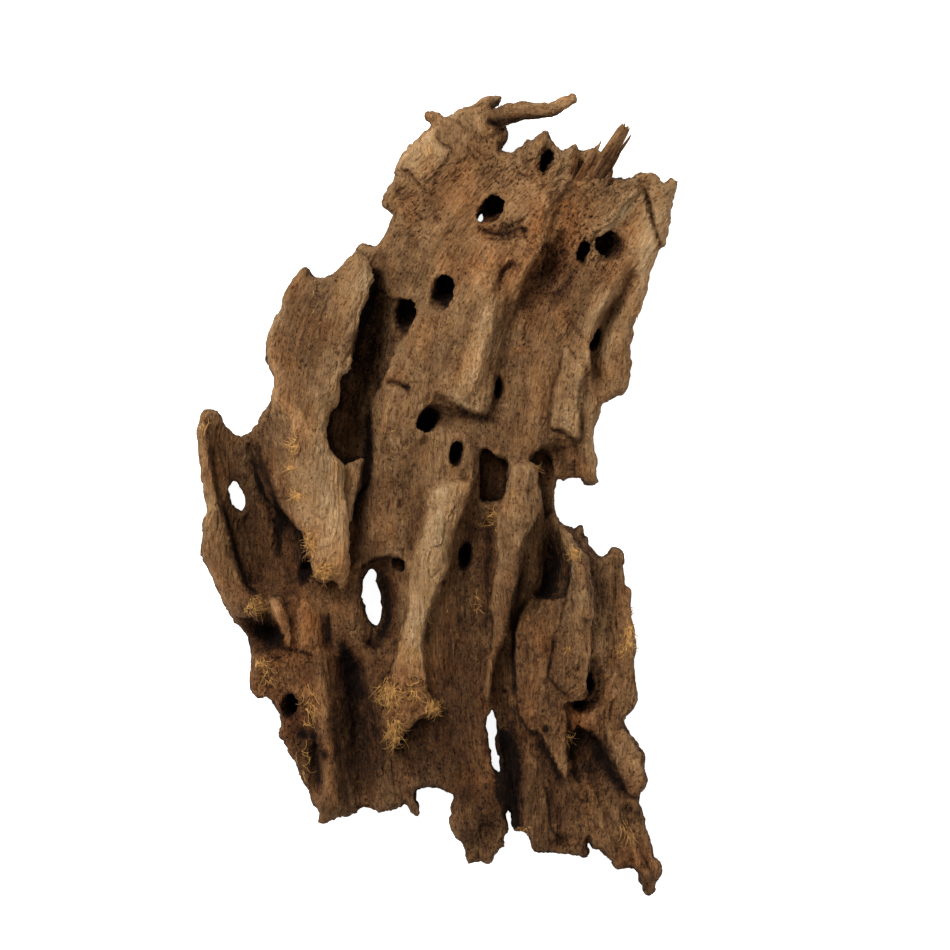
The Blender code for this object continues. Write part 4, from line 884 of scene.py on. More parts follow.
def wood(name):
    """Dry weathered wood. The mesh carries the grain's coordinates, each place's tone with painted shade and
    highlights, and its tints.
    """
    n = Nodes(name)
    along, spot = (n.attribute(key).outputs["Vector"] for key in ("grain", "spot"))
    tone, rot, rust, grey = (n.attribute(key).outputs["Fac"] for key in ("tone", "rot", "rust", "grey"))
    hairs = n.stretched_noise(along, (0.7, 6, 0.9), 5, 0.72, 0.3)
    bands = n.stretched_noise(along, (4.0, 26, 5.0), 4, 0.65, 0.8)
    lines = n.stretched_noise(along, (0.9, 9, 1.1), 4, 0.75, 0.5)
    flecks = n.stretched_noise(along, (1.1, 2.0, 1.2), 3, 0.6)
    cracks = n.stretched_noise(along, (2.4, 30, 3.0), 2, 0.5, 0.3)
    tinge = n.stretched_noise(along, (3.0, 8, 3.0), 4, 0.7)
    blotches = n.stretched_noise(spot, (13, 17, 13), 5, 0.7, 0.6)
    crumbs = n.stretched_noise(spot, (1.7, 2.2, 1.7), 5, 0.8, 0.2)
    specks = n.stretched_noise(spot, (1.3, 1.6, 1.3), 2, 0.5)
    patches = n.stretched_noise(spot, (5, 6, 5), 4, 0.7, 0.8)
    weather = n.stretched_noise(spot, (15, 26, 15), 4, 0.6)

    dark_line = n.above(lines, 0.565, 13.0)
    pale_line = n.below(lines, 0.43, 13.0)
    fleck = n.above(flecks, n.math("MULTIPLY_ADD", rot, -0.11, 0.63), 10.0)
    speck = n.above(specks, 0.60, 14.0)
    beside = n.math("MULTIPLY", n.math("ABSOLUTE", n.math("SUBTRACT", cracks, 0.5)), 60.0)
    crack = n.math("MULTIPLY", n.math("SUBTRACT", 1.0, beside, clamp=True), n.above(blotches, 0.44, 9.0))

    # How pale each place is, on the scale of TONES. Rotted wood is rougher in tone.
    value = n.swayed(tone, hairs, 0.52)
    value = n.swayed(value, bands, 0.34)
    value = n.swayed(value, blotches, 0.46)
    value = n.swayed(value, crumbs, n.math("MULTIPLY_ADD", rot, 0.8, 0.30))
    value = n.math("MULTIPLY_ADD", dark_line, -0.17, value)
    value = n.math("MULTIPLY_ADD", pale_line, 0.09, value)
    value = n.math("MULTIPLY_ADD", fleck, -0.30, value)
    value = n.math("MULTIPLY_ADD", speck, n.math("MULTIPLY_ADD", rot, -0.55, -0.09), value)
    value = n.swayed(value, patches, n.math("MULTIPLY_ADD", rot, 0.4, 0.14))
    value = n.math("MULTIPLY_ADD", crack, -0.10, value, clamp=True)
    ramp = n.add("ShaderNodeValToRGB", {"Fac": value})
    stops = ramp.color_ramp.elements
    for k, (place_on_scale, colour) in enumerate(TONES):
        stop = stops[k] if k < len(stops) else stops.new(place_on_scale)
        stop.position = place_on_scale
        stop.color = (*colour, 1)

    # Rust and grey where the mesh says so, warm and cool weathering, and a purple and a golden tinge.
    rusty = n.math("MULTIPLY", rust, n.math("MULTIPLY", blotches, 1.3), clamp=True)
    greyed = n.math("MULTIPLY", grey, n.math("MULTIPLY", bands, 1.3), clamp=True)
    colour = n.tinted(ramp.outputs["Color"], rusty, (1.14, 0.84, 0.62))
    colour = n.tinted(colour, greyed, (0.88, 0.93, 0.98))
    colour = n.tinted(colour, n.above(weather, 0.5, 5.0), (1.08, 0.94, 0.82))
    colour = n.tinted(colour, n.below(weather, 0.5, 5.0), (0.95, 1.0, 1.05))
    colour = n.tinted(colour, n.above(tinge, 0.52, 7.0), (0.97, 0.93, 0.98))
    colour = n.tinted(colour, n.below(tinge, 0.47, 7.0), (1.08, 1.0, 0.86))
    n.tree.links.new(colour, n.shader.inputs["Base Color"])
    rough = n.add("ShaderNodeMapRange", {
        "Value": hairs, "From Min": 0.3, "From Max": 0.7, "To Min": 0.78, "To Max": 0.95})
    n.tree.links.new(rough.outputs["Result"], n.shader.inputs["Roughness"])
    n.shader.inputs["Specular IOR Level"].default_value = 0.1
    raised = n.math("MULTIPLY_ADD", hairs, 0.6, n.math("MULTIPLY", bands, 1.2))
    raised = n.math("MULTIPLY_ADD", crumbs, n.math("MULTIPLY_ADD", rot, 1.6, 0.7), raised)
    raised = n.math("MULTIPLY_ADD", n.math("MULTIPLY_ADD", crack, 0.5, fleck), -0.5, raised)
    raised = n.math("MULTIPLY_ADD", n.math("SUBTRACT", pale_line, dark_line), 0.2, raised)
    bump = n.add("ShaderNodeBump", {"Height": raised, "Strength": 1.0, "Distance": 1.9 * MM})
    n.tree.links.new(bump.outputs["Normal"], n.shader.inputs["Normal"])
    return n.material


def floats(mesh, name, values):
    """Writes one number for each corner of the mesh."""
    attribute = mesh.attributes.new(name, "FLOAT", "POINT")
    attribute.data.foreach_set("value", np.ascontiguousarray(values, np.float32))


def vectors(mesh, name, values):
    """Writes three numbers for each corner of the mesh."""
    attribute = mesh.attributes.new(name, "FLOAT_VECTOR", "POINT")
    attribute.data.foreach_set("vector", np.ascontiguousarray(values, np.float32).ravel())


# Strokes that are paler or darker than their relief alone makes them: painted shade in crevices, cracks and
# hollows, under edges and below the top branch, painted highlights on crests and rims, and streaks of the
# wood's own tone. Points of (x, y, change of tone), and the half width.
STROKES = [
    # The upper face.
    ([(54, 150, .10), (55, 138, .14), (53, 126, .12), (50, 118, .08), (44, 106, .05)], 2.5),
    ([(60, 150, .04), (60, 138, .12), (57.5, 126, .14), (53.5, 114, .02), (49, 102, -.06),
      (44, 94, -.06)], 4.5),
    ([(26, 116, .06), (22, 105, .08), (25, 95, .12), (24, 82, .14), (21, 68, .14), (16, 58, .12),
      (8, 50, .08)], 5),
    ([(2, 48, -.1), (8, 44, -.16), (16, 40, -.2), (24, 39, -.16), (32, 36, -.08)], 2.5),
    ([(30, 103, -.12), (31, 109, -.2), (34, 114, -.25), (38, 116, -.3), (41, 113, -.2)], 1.4),
    ([(-24, 57, -.4), (-19, 56.3, -.5), (-14, 54, -.6)], 1.0),
    ([(-12, 90, .10), (-13, 82, .12), (-18, 74, .14), (-24, 63, .12)], 1.6),
    ([(-20, 54, .12), (-23, 47, .14), (-26, 38, .14), (-28, 28, .08)], 0.9),
    ([(108, 138, .16), (105, 124, .18), (102, 108, .12), (100, 95, .08)], 3),
    ([(96, 146, .1), (90, 138, .12), (84, 132, .1)], 4), ([(104, 150, .1), (103, 138, .12)], 3),
    ([(97, 112, -.12), (95, 104, -.15), (88, 92, -.15), (82, 84, -.2), (80, 70, -.25),
      (80, 60, -.15)], 3),
    ([(92, 108, .1), (88, 100, .12), (80, 92, .1)], 3.5),
    ([(70, 66, .04), (66, 50, .06), (66, 36, .08)], 4),
    ([(57, 33.5, -.4), (62, 32.5, -.5), (66, 30, -.4), (70, 26.5, -.5), (72.5, 28, -.3)], 0.9),
    ([(77.6, 72, .08), (77, 60, .12), (76.3, 45, .1), (78.3, 28, .12), (79.6, 10, .1)], 0.9),
    ([(74.3, 69, -.1), (75, 55, -.2), (73, 42, -.25), (73.5, 31, -.25)], 0.8),
    ([(63.6, 74, -.1), (61.6, 63, -.2), (58.3, 55, -.2), (56.6, 45, -.2), (56.2, 36, -.2)], 0.7),
    ([(68.8, 21, -.3), (69.6, 10.7, -.35)], 0.5), ([(73.8, 22, -.2), (74.4, 12, -.3)], 0.4),
    ([(58, 21, -.2), (63, 24, -.3), (68, 25, -.2)], 0.6),
    ([(44, 68, -.1), (44.5, 50, -.2), (42.5, 30, -.2)], 0.8),
    ([(31.5, 100, -.2), (32, 107, -.3), (34, 112, -.4), (37.5, 115.6, -.4)], 0.6),
    ([(29.8, 99, .06), (30.2, 107, .1), (32.6, 113.6, .12), (37, 117.6, .1)], 0.8),
    ([(50.3, 118, -.1), (51.6, 112, -.2), (47.6, 103, -.2), (43, 98, -.2)], 0.6),
    ([(36, 92, -.1), (38.4, 84, -.15), (36, 76, -.1)], 0.6),
    ([(57, 98, -.15), (66, 106, -.2), (70, 112, -.1)], 0.7),
    ([(64, 92, -.2), (69, 84, -.2), (74, 79, -.25)], 0.6),
    ([(66, 75, -.2), (69, 69, -.3), (73, 68.6, -.2)], 0.7),
    # Fine cracks of the leg, with painted shade in them, and paler strips beside them.
    ([(55.5, -146, -.2), (56.2, -157, -.35), (57.6, -166.8, -.4), (62, -171, -.3)], 0.6),
    ([(75.3, -156, .1), (79.5, -161, .14), (83, -165.6, .12), (78.5, -170, .1)], 0.9),
    ([(85.9, -115.3, .08), (89.8, -125.9, .12), (91.4, -136.4, .12), (94, -144.6, .08)], 0.8),
    ([(93, -155, -.1), (97, -158, -.2), (101, -159, -.2), (104, -163, -.1)], 1.6),
    ([(84.5, -160, .04), (88, -168, .1), (93, -176, .12), (97.5, -181, .08)], 0.6),
    ([(59, -72, -.1), (57.4, -80, -.2), (55, -92, -.2), (56, -104, -.15)], 0.6),
    ([(45, -116, -.12), (43.6, -121, -.15), (47.6, -125, -.2), (52.6, -124, -.1)], 0.7),
    ([(72, -104, -.3), (72.6, -112, -.35), (70, -116, -.2)], 0.4),
    ([(76.4, -106, -.3), (77, -113, -.3)], 0.4),
    ([(99, -167, -.2), (102, -177, -.25), (107, -187, -.2)], 0.5),
    ([(103.4, -168, .1), (106.4, -178, .14), (110.6, -187, .12)], 0.5),
    # Fine cracks and edges of the top, with painted shade in the cracks and a painted shadow below the top
    # branch.
    ([(104.5, 153, -.3), (107.2, 146, -.5), (108, 139, -.5), (110.5, 131, -.4), (112, 126, -.2)], 0.6),
    ([(-20, 162.8, -.25), (-14, 162.6, -.35), (-10, 157.5, -.3), (-6, 153, -.2)], 0.8),
    ([(-0.4, 180, -.2), (2.3, 176.4, -.35), (6, 174.4, -.35), (8.6, 172.6, -.2)], 0.6),
    ([(8, 171.5, -.15), (3.8, 165, -.22), (-1.5, 155, -.2)], 0.7),
    ([(-22, 158, -.1), (-18, 151, -.2), (-14, 148, -.1)], 2),
    ([(26, 186, -.3), (38, 187.4, -.35), (50, 188.6, -.3), (60, 190.6, -.25)], 1.8),
    ([(24, 190, -.2), (27, 187, -.35), (31, 185, -.3)], 1.6),
    ([(36, 193, .1), (48, 195, .1), (62, 200, .14)], 1.4),
    ([(5, 190, -.2), (12, 186, -.3), (18, 180, -.3), (24, 177, -.2)], 0.6),
    ([(10, 178, -.2), (16, 174, -.3), (20, 168, -.2)], 0.6),
    ([(14, 197, .08), (24, 201, .12), (31, 199, .1)], 1.0),
    ([(12, 193, -.2), (20, 195, -.25), (27, 195, -.2)], 0.5),
    ([(21, 133, -.1), (30, 132, -.15), (38, 131, -.12)], 3),
    ([(21, 134.5, -.25), (26, 131.5, -.4), (33, 130, -.4), (39, 132, -.4), (43, 135, -.25)], 0.6),
    ([(24, 129, -.25), (31, 127.5, -.35), (37, 128.5, -.25)], 0.6),
    ([(42, 133.6, -.5), (45, 132, -.5)], 0.9), ([(38, 163, -.2), (44, 160, -.35), (49, 158, -.3)], 0.6),
    ([(20, 160, -.1), (27, 162, -.2), (33, 166, -.2)], 0.6),
    # The left plate, the tongue and the ear.
    ([(-33.5, 114, .14), (-34, 104, .14), (-37, 94, .12), (-39, 84, .10), (-41, 72, .10),
      (-43, 63, .12)], 1.6),
    ([(-75, 102, .06), (-78, 90, .10), (-82, 82, .10), (-81, 70, .12), (-80, 56, .12),
      (-80, 40, .10)], 2),
    ([(-83, 58, .05), (-74, 46, .08), (-66, 36, .12), (-58, 26, .12), (-50, 18, .12)], 3),
    ([(-46, 12, .1), (-44, 0, .12), (-43, -14, .12), (-43, -30, .12), (-45, -44, .1)], 1.5),
    ([(-80, 0, -.1), (-76, -12, -.2), (-70, -24, -.15), (-66, -34, -.2)], 3),
    ([(-86, 18, -.05), (-86, 6, -.05)], 4),
    ([(-114, 30, -.1), (-112, 12, -.12), (-108, -4, -.14), (-104, -18, -.16), (-101, -30, -.2),
      (-95, -42, -.2)], 3),
    ([(-89, 24, -.2), (-86, 12, -.3), (-82, 2, -.35), (-79, -8, -.4), (-79, -18, -.45),
      (-80, -30, -.3)], 1.6),
    ([(-97, 24, .08), (-95, 12, .1), (-91, 2, .08), (-86, -8, .06)], 1.8),
    ([(-103, 9, -.2), (-97, 10, -.15)], 2),
    ([(-113.4, 25, -.15), (-109, 0, -.2), (-103.7, -15.6, -.25), (-99.8, -30.9, -.28),
      (-95.4, -43.6, -.25), (-90.5, -48.7, -.2)], 0.9),
    ([(-116.3, 26, .04), (-112.2, 0, .06), (-107, -15, .08), (-103, -30, .08), (-98.5, -43, .08)], 1.2),
    ([(-93, 22, -.2), (-91, 12, -.35), (-89.3, 5, -.4), (-85.5, -2, -.3)], 1.0),
    ([(-78, -3, .08), (-74.5, -10.5, .16), (-72, -20.7, .16), (-68.2, -30.9, .12)], 0.5),
    ([(-71.5, -13, -.2), (-67.5, -22, -.3), (-63, -31, -.25)], 1.8),
    ([(-46, 14.5, .1), (-41, 16.7, .16), (-36, 19, .18)], 0.6),
    ([(-35.5, 14, -.4), (-38.5, 3, -.35), (-41, -10, -.2)], 1.1),
    ([(-28, -40, -.15), (-24.6, -52, -.25), (-24, -62, -.3), (-27.5, -70.5, -.3), (-33, -73, -.2)], 1.8),
    ([(-40, -37.5, -.2), (-32, -32.6, -.3), (-24, -30.4, -.3), (-18.5, -31, -.25)], 0.8),
    ([(-40, -35.6, .06), (-32, -30.6, .1), (-24, -28.2, .1), (-16, -28.6, .08)], 0.8),
    ([(-49, -44, -.1), (-46.4, -46.6, -.3), (-43.4, -44, -.2)], 0.8),
    ([(-36, -72, -.25), (-31, -76, -.35), (-27, -74, -.25)], 1.2),
    ([(-86, -84, .08), (-80, -96, .12), (-74, -108, .1)], 1.0),
    ([(-78, -84, -.1), (-75, -96, -.2), (-71, -106, -.15)], 0.6),
    ([(-66, -88, .1), (-63, -100, .14), (-58, -114, .12), (-54, -126, .1)], 1.0),
    ([(-70, -88, -.1), (-66, -104, -.2), (-60, -118, -.2)], 0.6),
    ([(-69, -118, -.3), (-66.5, -120, -.4), (-63, -119, -.3), (-61, -121, -.4)], 0.6),
    ([(-61.5, -118, -.1), (-60.5, -130, -.2), (-58.5, -143, -.2)], 1.2),
    ([(-66, -128, .08), (-63, -140, .1), (-60, -150, .08)], 0.6),
    ([(-55.6, -134, .08), (-53, -148, .1)], 0.8),
    ([(55.5, -27, .1), (57.5, -25.5, .12), (60, -27, .12), (60.5, -30, .12), (58.5, -31.5, .1),
      (56, -30, .1), (55.5, -27, .1)], 0.5),
    # The two middle ridges and the valleys beside them.
    ([(8, 4, .12), (3, -8, .14), (0, -22, .12), (-4, -36, .12), (-7, -50, .14), (-10, -64, .16),
      (-12, -92, .05)], 6),
    ([(14, 2, .12), (11, -8, .1)], 3),
    ([(-6, 0, -.1), (-10, -14, -.16), (-14, -26, -.14), (-17, -40, -.12)], 3.5),
    ([(-4, -62, -.2), (-5, -72, -.25)], 1),
    ([(3, -109, -.12), (-4, -112, -.2), (-10, -114, -.25), (-16, -120, -.25), (-20, -128, -.2)], 2.2),
    ([(50, 12, .08), (52, 2, .1), (51, -10, .1)], 1.3),
    ([(31, -10, .1), (31, -24, .12), (29, -42, .12), (28, -56, .1)], 1.3),
    ([(26, -8, -.12), (27, -22, -.22), (26, -36, -.2), (25, -52, -.18), (26, -66, -.12)], 3),
    ([(43, -28, -.15), (42, -42, -.3), (39, -56, -.35), (37, -66, -.25)], 2.5),
    ([(44.5, -53, -.3), (41, -59, -.5), (38.8, -68, -.5), (39, -82, -.35), (39.5, -96, -.2)], 0.9),
    ([(57.5, -25, -.2), (59, -34, -.3), (57, -45, -.3), (52, -50, -.2)], 4),
    ([(34, -121, -.2), (38, -128, -.4), (38.5, -140, -.5), (38.5, -152, -.4), (40, -163, -.35)], 3),
    ([(-30, 104, -.5), (-34, 93, -.6), (-38, 82, -.6), (-41, 70, -.5)], 1.5),
    ([(-34, 48, -.2), (-33, 30, -.4), (-34.5, 14, -.4)], 2),
    ([(83, -112, .06), (87, -120, .08), (89, -130, .08), (92, -140, .08)], 1.6),
    # The leg. The right part of its sheet is a grey flake with a painted shadow along its left edge.
    ([(67.5, -27, -.2), (66.5, -43, -.25), (63, -58, -.25), (60, -70, -.2), (57, -80, -.25),
      (56, -90, -.3), (61, -96, -.3), (66, -100, -.25)], 0.7),
    ([(63, -22, .14), (67, -30, .16), (68, -40, .1)], 1.5),
    ([(67, -52, .1), (63, -57, .12), (60, -68, .08)], 1.2),
    ([(79, -36, .1), (79, -52, .12), (79, -66, .12), (77, -80, .10), (76, -88, .10)], 1.3),
    ([(65, -100, .1), (65, -116, .12), (65.5, -130, .14), (65.5, -142, .14)], 0.8),
    ([(52, -116, .1), (57, -126, .14), (62, -136, .14), (65, -142, .1)], 1.2),
    ([(48, -118, -.1), (53, -126, -.2), (59, -136, -.2), (63, -144, -.15)], 2),
    ([(70, -119, -.25), (76, -120, -.35), (82, -126, -.4), (87, -136, -.4), (93, -145, -.35)], 3.5),
    ([(97, -128, .06), (100, -140, .08)], 4), ([(50, -134, .06), (55, -152, .08), (60, -168, .06)], 1.2),
    ([(72, -132, .05), (78, -150, .08), (84, -165, .08)], 1.5), ([(90, -160, .12), (97, -172, .12)], 0.6),
    ([(54, -145, -.12), (57, -158, -.16), (60, -170, -.14)], 1.2),
    ([(100, -172, -.12), (104, -186, -.14)], 1.2),
    # The lower left.
    ([(-46.5, -75, -.35), (-44.5, -84, -.45), (-41, -95, -.18), (-37, -108, .02)], 3.2),
    ([(-37, -108, .12), (-39, -124, .16), (-39, -140, .14), (-38, -150, .1)], 7),
    ([(-33, -100, -.04), (-28.8, -118, -.1), (-28, -138, -.08)], 2.2),
    ([(-94, -66, -.1), (-84, -69, -.12), (-78, -73, -.1)], 4.5),
    ([(-81, -54, .14), (-76, -70, .16)], 1.8),
    ([(-92, -82.5, .1), (-86, -80, .15), (-78, -77, .15), (-75, -79.5, .1)], 0.7),
    ([(-71.5, -50, .06), (-69, -60, .12), (-66, -74, .1)], 1.0),
    ([(-57.5, -60, -.3), (-56, -75, -.3)], 1.0), ([(-66, -52, .1), (-66, -74, .1)], 2),
    ([(-57, -88, .1), (-55, -110, .12), (-53, -134, .1), (-50, -152, .06)], 2),
    ([(-54, -60, -.3), (-54, -73, -.3)], 1.2), ([(-62, -128, -.12), (-58, -148, -.12)], 1.6),
    ([(-76.5, -76.4, -.4), (-68, -77.6, -.6), (-62, -79.6, -.5)], 0.7),
]
# Faces of changed tone: paler facets and rims, and darker faces that are painted shade in pockets, gaps and
# valleys, with some darker wood. Outline, change, softness of the border.
TONE_AND_SHADE_FACES = [
    ([(30.4, 98.2), (25.1, 98.2), (18.7, 87.6), (15.4, 74.3), (13.4, 63.7), (10.5, 53.1), (4.5, 48.5),
      (11.8, 43.2), (22.4, 39.2), (26.4, 43.2), (29, 54.4), (25.7, 63.7), (27, 74.3),
      (30.4, 87.6)], 0.09, 1.3),
    ([(96.7, 112.8), (91.4, 114), (83.4, 103.5), (76.8, 92.9), (78.1, 87.6), (84.7, 94.2), (91.4, 99.5),
      (95.3, 106.2)], 0.10, 1.0),
    ([(83, 72), (92, 78), (96, 92), (97, 74), (95, 55), (88, 50), (83, 48)], 0.05, 1.5),
    ([(-20.3, 163.6), (-16.9, 170.3), (-11, 176.2), (-1.7, 183.5), (-0.4, 179.5), (2.3, 175.6),
      (7.6, 172.9), (4.3, 167.6), (1, 162.3), (-3, 154.3), (-7, 154.3), (-9.6, 158.3), (-12.3, 162.3),
      (-16.3, 164.3)], 0.10, 0.5),
    # The bars of the lower left, and the painted shade in the dark places beside them.
    ([(-83.5, -51.9), (-79, -51.3), (-75.2, -58.9), (-72, -70.4), (-72.6, -75.5), (-75.2, -75.5),
      (-79, -64), (-82.8, -56.4)], 0.09, 0.5),
    ([(-79, -43.6), (-69.4, -43.6), (-66.9, -51.3), (-70.1, -58.9), (-71.3, -70.4), (-74.5, -58.9),
      (-78.4, -51.3)], -0.09, 0.6),
    ([(-66.9, -51.3), (-56.7, -51.3), (-55.4, -58.9), (-56.7, -64), (-59.2, -75.5), (-68.2, -75.5),
      (-70.7, -69.1), (-70.1, -58.9)], 0.05, 0.7),
    ([(-56, -60), (-53, -60), (-51.4, -76), (-54.6, -79)], -0.18, 0.7),
    ([(-98.8, -63.6), (-85, -62), (-80, -68), (-78, -75.5), (-85, -78), (-92.4, -79.5),
      (-93, -72)], -0.10, 0.8),
    ([(1, 170), (-6, 181), (8, 192), (20, 199), (24, 190), (18, 180), (10, 172)], 0.04, 1.2),
    ([(38, 119), (42, 127), (49, 126), (52, 114), (52, 103), (47, 98), (43, 108)], 0.04, 1.0),
    ([(58.5, 197.6), (65.9, 201.5), (70.5, 201), (70.5, 194.5), (63.4, 192.1)], 0.16, 1.5),
    ([(107.8, 159), (118.5, 160), (120.5, 154.1), (117.3, 139.4), (114.9, 124), (112.2, 126),
      (110.4, 135.8), (107.8, 143.1), (105.8, 152)], 0.10, 0.6),
    ([(100.2, 129.6), (106.3, 137), (109.4, 134.5), (111.2, 123.5), (106.3, 110), (103.8, 94.1),
      (102, 90.5), (103.2, 107.6), (102, 119.8)], 0.10, 1.2),
    ([(78.7, 127.2), (83, 134.5), (90.4, 143.1), (97.7, 151.7), (105, 156.6), (105.3, 150.4),
      (97.7, 141.9), (91.6, 135.5), (85.5, 131.9)], 0.09, 0.8),
    ([(-51.7, -80), (-43.7, -80), (-38.4, -86.6), (-33.1, -98.5), (-27.8, -110.5), (-25.5, -125.1),
      (-25.8, -141), (-30.4, -146.3), (-43.7, -154.3), (-49, -151.6), (-51.7, -127.7),
      (-52.1, -98.5)], -0.11, 0.9),
    ([(-77, -116), (-70, -112), (-62, -116), (-58, -126), (-56, -146), (-64, -152),
      (-72, -134)], -0.08, 1.5),
    ([(-28, -90), (-18, -86), (-6, -92), (2, -100), (2, -106), (-10, -108), (-18, -116), (-24, -124),
      (-28, -110)], -0.06, 2.0),
    ([(52, 118), (54, 128), (57, 138), (64, 141), (67, 130), (60, 118)], 0.09, 3.0),
    # The leg: its foot, the knob's fibrous face, the reddish wood above the arch, and the pocket by the slit,
    # painted dark as shade.
    ([(96.4, -170.7), (104.4, -164.1), (107, -173.4), (113.6, -186.6), (110.9, -191.8), (104.4, -189.2),
      (99.1, -182.6)], 0.13, 0.8),
    ([(75.3, -172), (84, -168), (93, -172), (97, -182), (92, -184), (86, -184)], 0.06, 1.0),
    ([(29.1, -107.4), (31.8, -116.6), (37.1, -119.3), (40.4, -125.9), (42.1, -131.2), (41.3, -137.8),
      (40.8, -143), (37.7, -149.6), (36.4, -156.2), (38.4, -161.5), (43, -165.5), (36, -166),
      (30, -150), (29, -130)], -0.26, 0.5),
    ([(66.1, -107.4), (69, -104), (78, -106), (79, -114), (76, -117), (68, -117)], 0.10, 0.6),
    ([(60, -119), (66, -125), (80, -121), (86, -131), (80, -140), (70, -140)], -0.05, 1.5),
    ([(42.5, -124), (47, -121), (52, -122), (56, -130), (56, -150), (53, -164), (46, -164), (42, -158),
      (44, -142)], 0.04, 1.0),
    ([(12, 118), (14, 128), (20, 131), (28, 128), (31, 118), (28, 104), (22, 100), (18, 108)], 0.07, 2.5),
    ([(54, 126), (50, 116), (45, 110), (41, 98), (44, 82), (52, 82), (58, 92), (66, 100), (70, 112),
      (66, 122)], -0.10, 2.0),
    ([(93.5, -119), (99, -124), (103, -132), (104, -142), (101, -148), (96, -146), (92.5, -138),
      (91.5, -128)], 0.09, 1.0),
    ([(-48, 62), (-44, 62), (-38, 60), (-34, 48), (-33, 20), (-40, 18), (-50, 22), (-54, 32),
      (-52, 44)], 0.08, 1.5),
    ([(64, -117), (65, -124), (65.8, -140), (61.5, -134), (57, -126), (59, -121)], 0.08, 0.8),
    ([(65, -102), (71, -101), (78, -106), (80, -113), (72, -116), (66, -115)], 0.06, 1.0),
]
# Soft patches that are paler or darker, painted shadow and shade among them: middle, half sizes, lean,
# change of tone.
SHADES = [
    # Painted shadows below the thickest tufts of fibre.
    ((-69, 25), (4, 6), 0.0, -0.12), ((-69, 0), (4, 3), 0.0, -0.12), ((-62, -23), (3, 8), 0.3, -0.12),
    ((-56, -37), (6, 5), 0.0, -0.14), ((-91, -54), (6, 6), 0.0, -0.12), ((-23, -97), (7, 10), 0.0, -0.12),
    ((-21, -116), (4, 9), 0.0, -0.08), ((-87, -83), (4, 4), 0.0, -0.10), ((97, -70), (3, 10), 0.0, -0.06),
    # Paler and darker parts of the face: the darker ones in hollows, grooves and crevices are painted shade.
    ((-8, 172), (14, 16), 0.5, 0.13), ((-62, 75), (20, 45), 0.1, -0.07),
    ((-52, -10), (10, 34), 0.0, 0.16), ((-110, -10), (7, 45), -0.1, 0.17), ((2, -10), (9, 26), 0.1, 0.16),
    ((-10, -65), (9, 40), 0.1, 0.10), ((20, 58), (14, 20), 0.2, 0.04), ((8, 75), (16, 26), 0.2, -0.06),
    ((40, 150), (50, 24), 0.2, 0.06), ((95, 140), (20, 24), 0.0, 0.11), ((62, 160), (20, 14), 0.0, 0.06),
    ((20, 150), (24, 20), 0.0, 0.05), ((90, -100), (14, 40), 0.0, 0.11),
    ((70, -170), (20, 14), 0.0, 0.06), ((74, 60), (8, 40), 0.2, 0.07), ((100, 115), (8, 34), 0.2, 0.14),
    ((84, 60), (8, 40), 0.1, 0.05), ((98, -134), (8, 14), 0.0, 0.08), ((42, -10), (8, 34), 0.1, 0.04),
    ((67, -60), (10, 40), 0.0, 0.05), ((38, 74), (6, 3), 0.3, 0.08), ((62, 92), (5, 4), 0.8, 0.08),
    ((93, -66), (12, 24), 0.0, 0.08), ((-20, -105), (10, 16), 0.0, 0.10),
    ((-100, -25), (16, 30), 0.2, -0.04), ((-90, 0), (10, 30), -0.2, -0.04),
    ((-43, 28), (9, 20), 0.0, -0.10), ((-32, 75), (7, 24), 0.1, -0.10),
    ((-84, -68), (12, 10), 0.0, -0.18), ((-38, -112), (9, 40), 0.0, -0.12),
    ((-30, -52), (10, 24), 0.0, -0.12), ((57, -36), (6, 14), 0.0, -0.10), ((53, 10), (7, 18), 0.0, -0.06),
    ((80, -126), (10, 12), -0.4, -0.16), ((38, -140), (5, 24), 0.0, -0.2),
    ((18, -90), (14, 60), 0.0, -0.08), ((0, -130), (24, 20), 0.0, -0.10), ((64, 20), (8, 10), 0.0, -0.14),
    ((60, -155), (24, 26), -0.3, -0.06), ((57, 118), (10, 24), 0.2, -0.04),
    ((-70, -100), (16, 40), 0.0, -0.05), ((-66, -132), (16, 22), 0.0, -0.07),
    ((-14, -128), (14, 16), 0.0, -0.05),
]
# Reddish patches: middle, half sizes, lean, strength.
RUST = [
    ((-78, -63), (6, 12), 0.2, 0.8), ((-62, -66), (6, 12), 0.0, 0.6), ((-47, -36), (7, 8), 0.0, 0.6),
    ((-14, -100), (14, 20), 0.0, 0.9), ((-80, -98), (18, 26), 0.0, 0.8), ((62, 134), (12, 14), 0.2, 0.8),
    ((72, -111), (9, 8), 0.0, 1.0), ((105, -178), (9, 14), 0.3, 0.9), ((41, 73), (4, 3), 0.4, 0.9),
    ((63, 90), (5, 8), 0.2, 0.7), ((98, -140), (8, 14), 0.0, 0.4), ((-46, -30), (8, 20), 0.0, 0.4),
    ((55, 122), (16, 30), 0.3, 0.8), ((20, 150), (30, 22), 0.4, 0.7), ((88, 116), (10, 16), 0.0, 0.6),
    ((30, 110), (20, 20), 0.2, 0.5), ((-70, -70), (30, 50), 0.0, 0.5), ((40, -120), (50, 60), 0.0, 0.3),
]
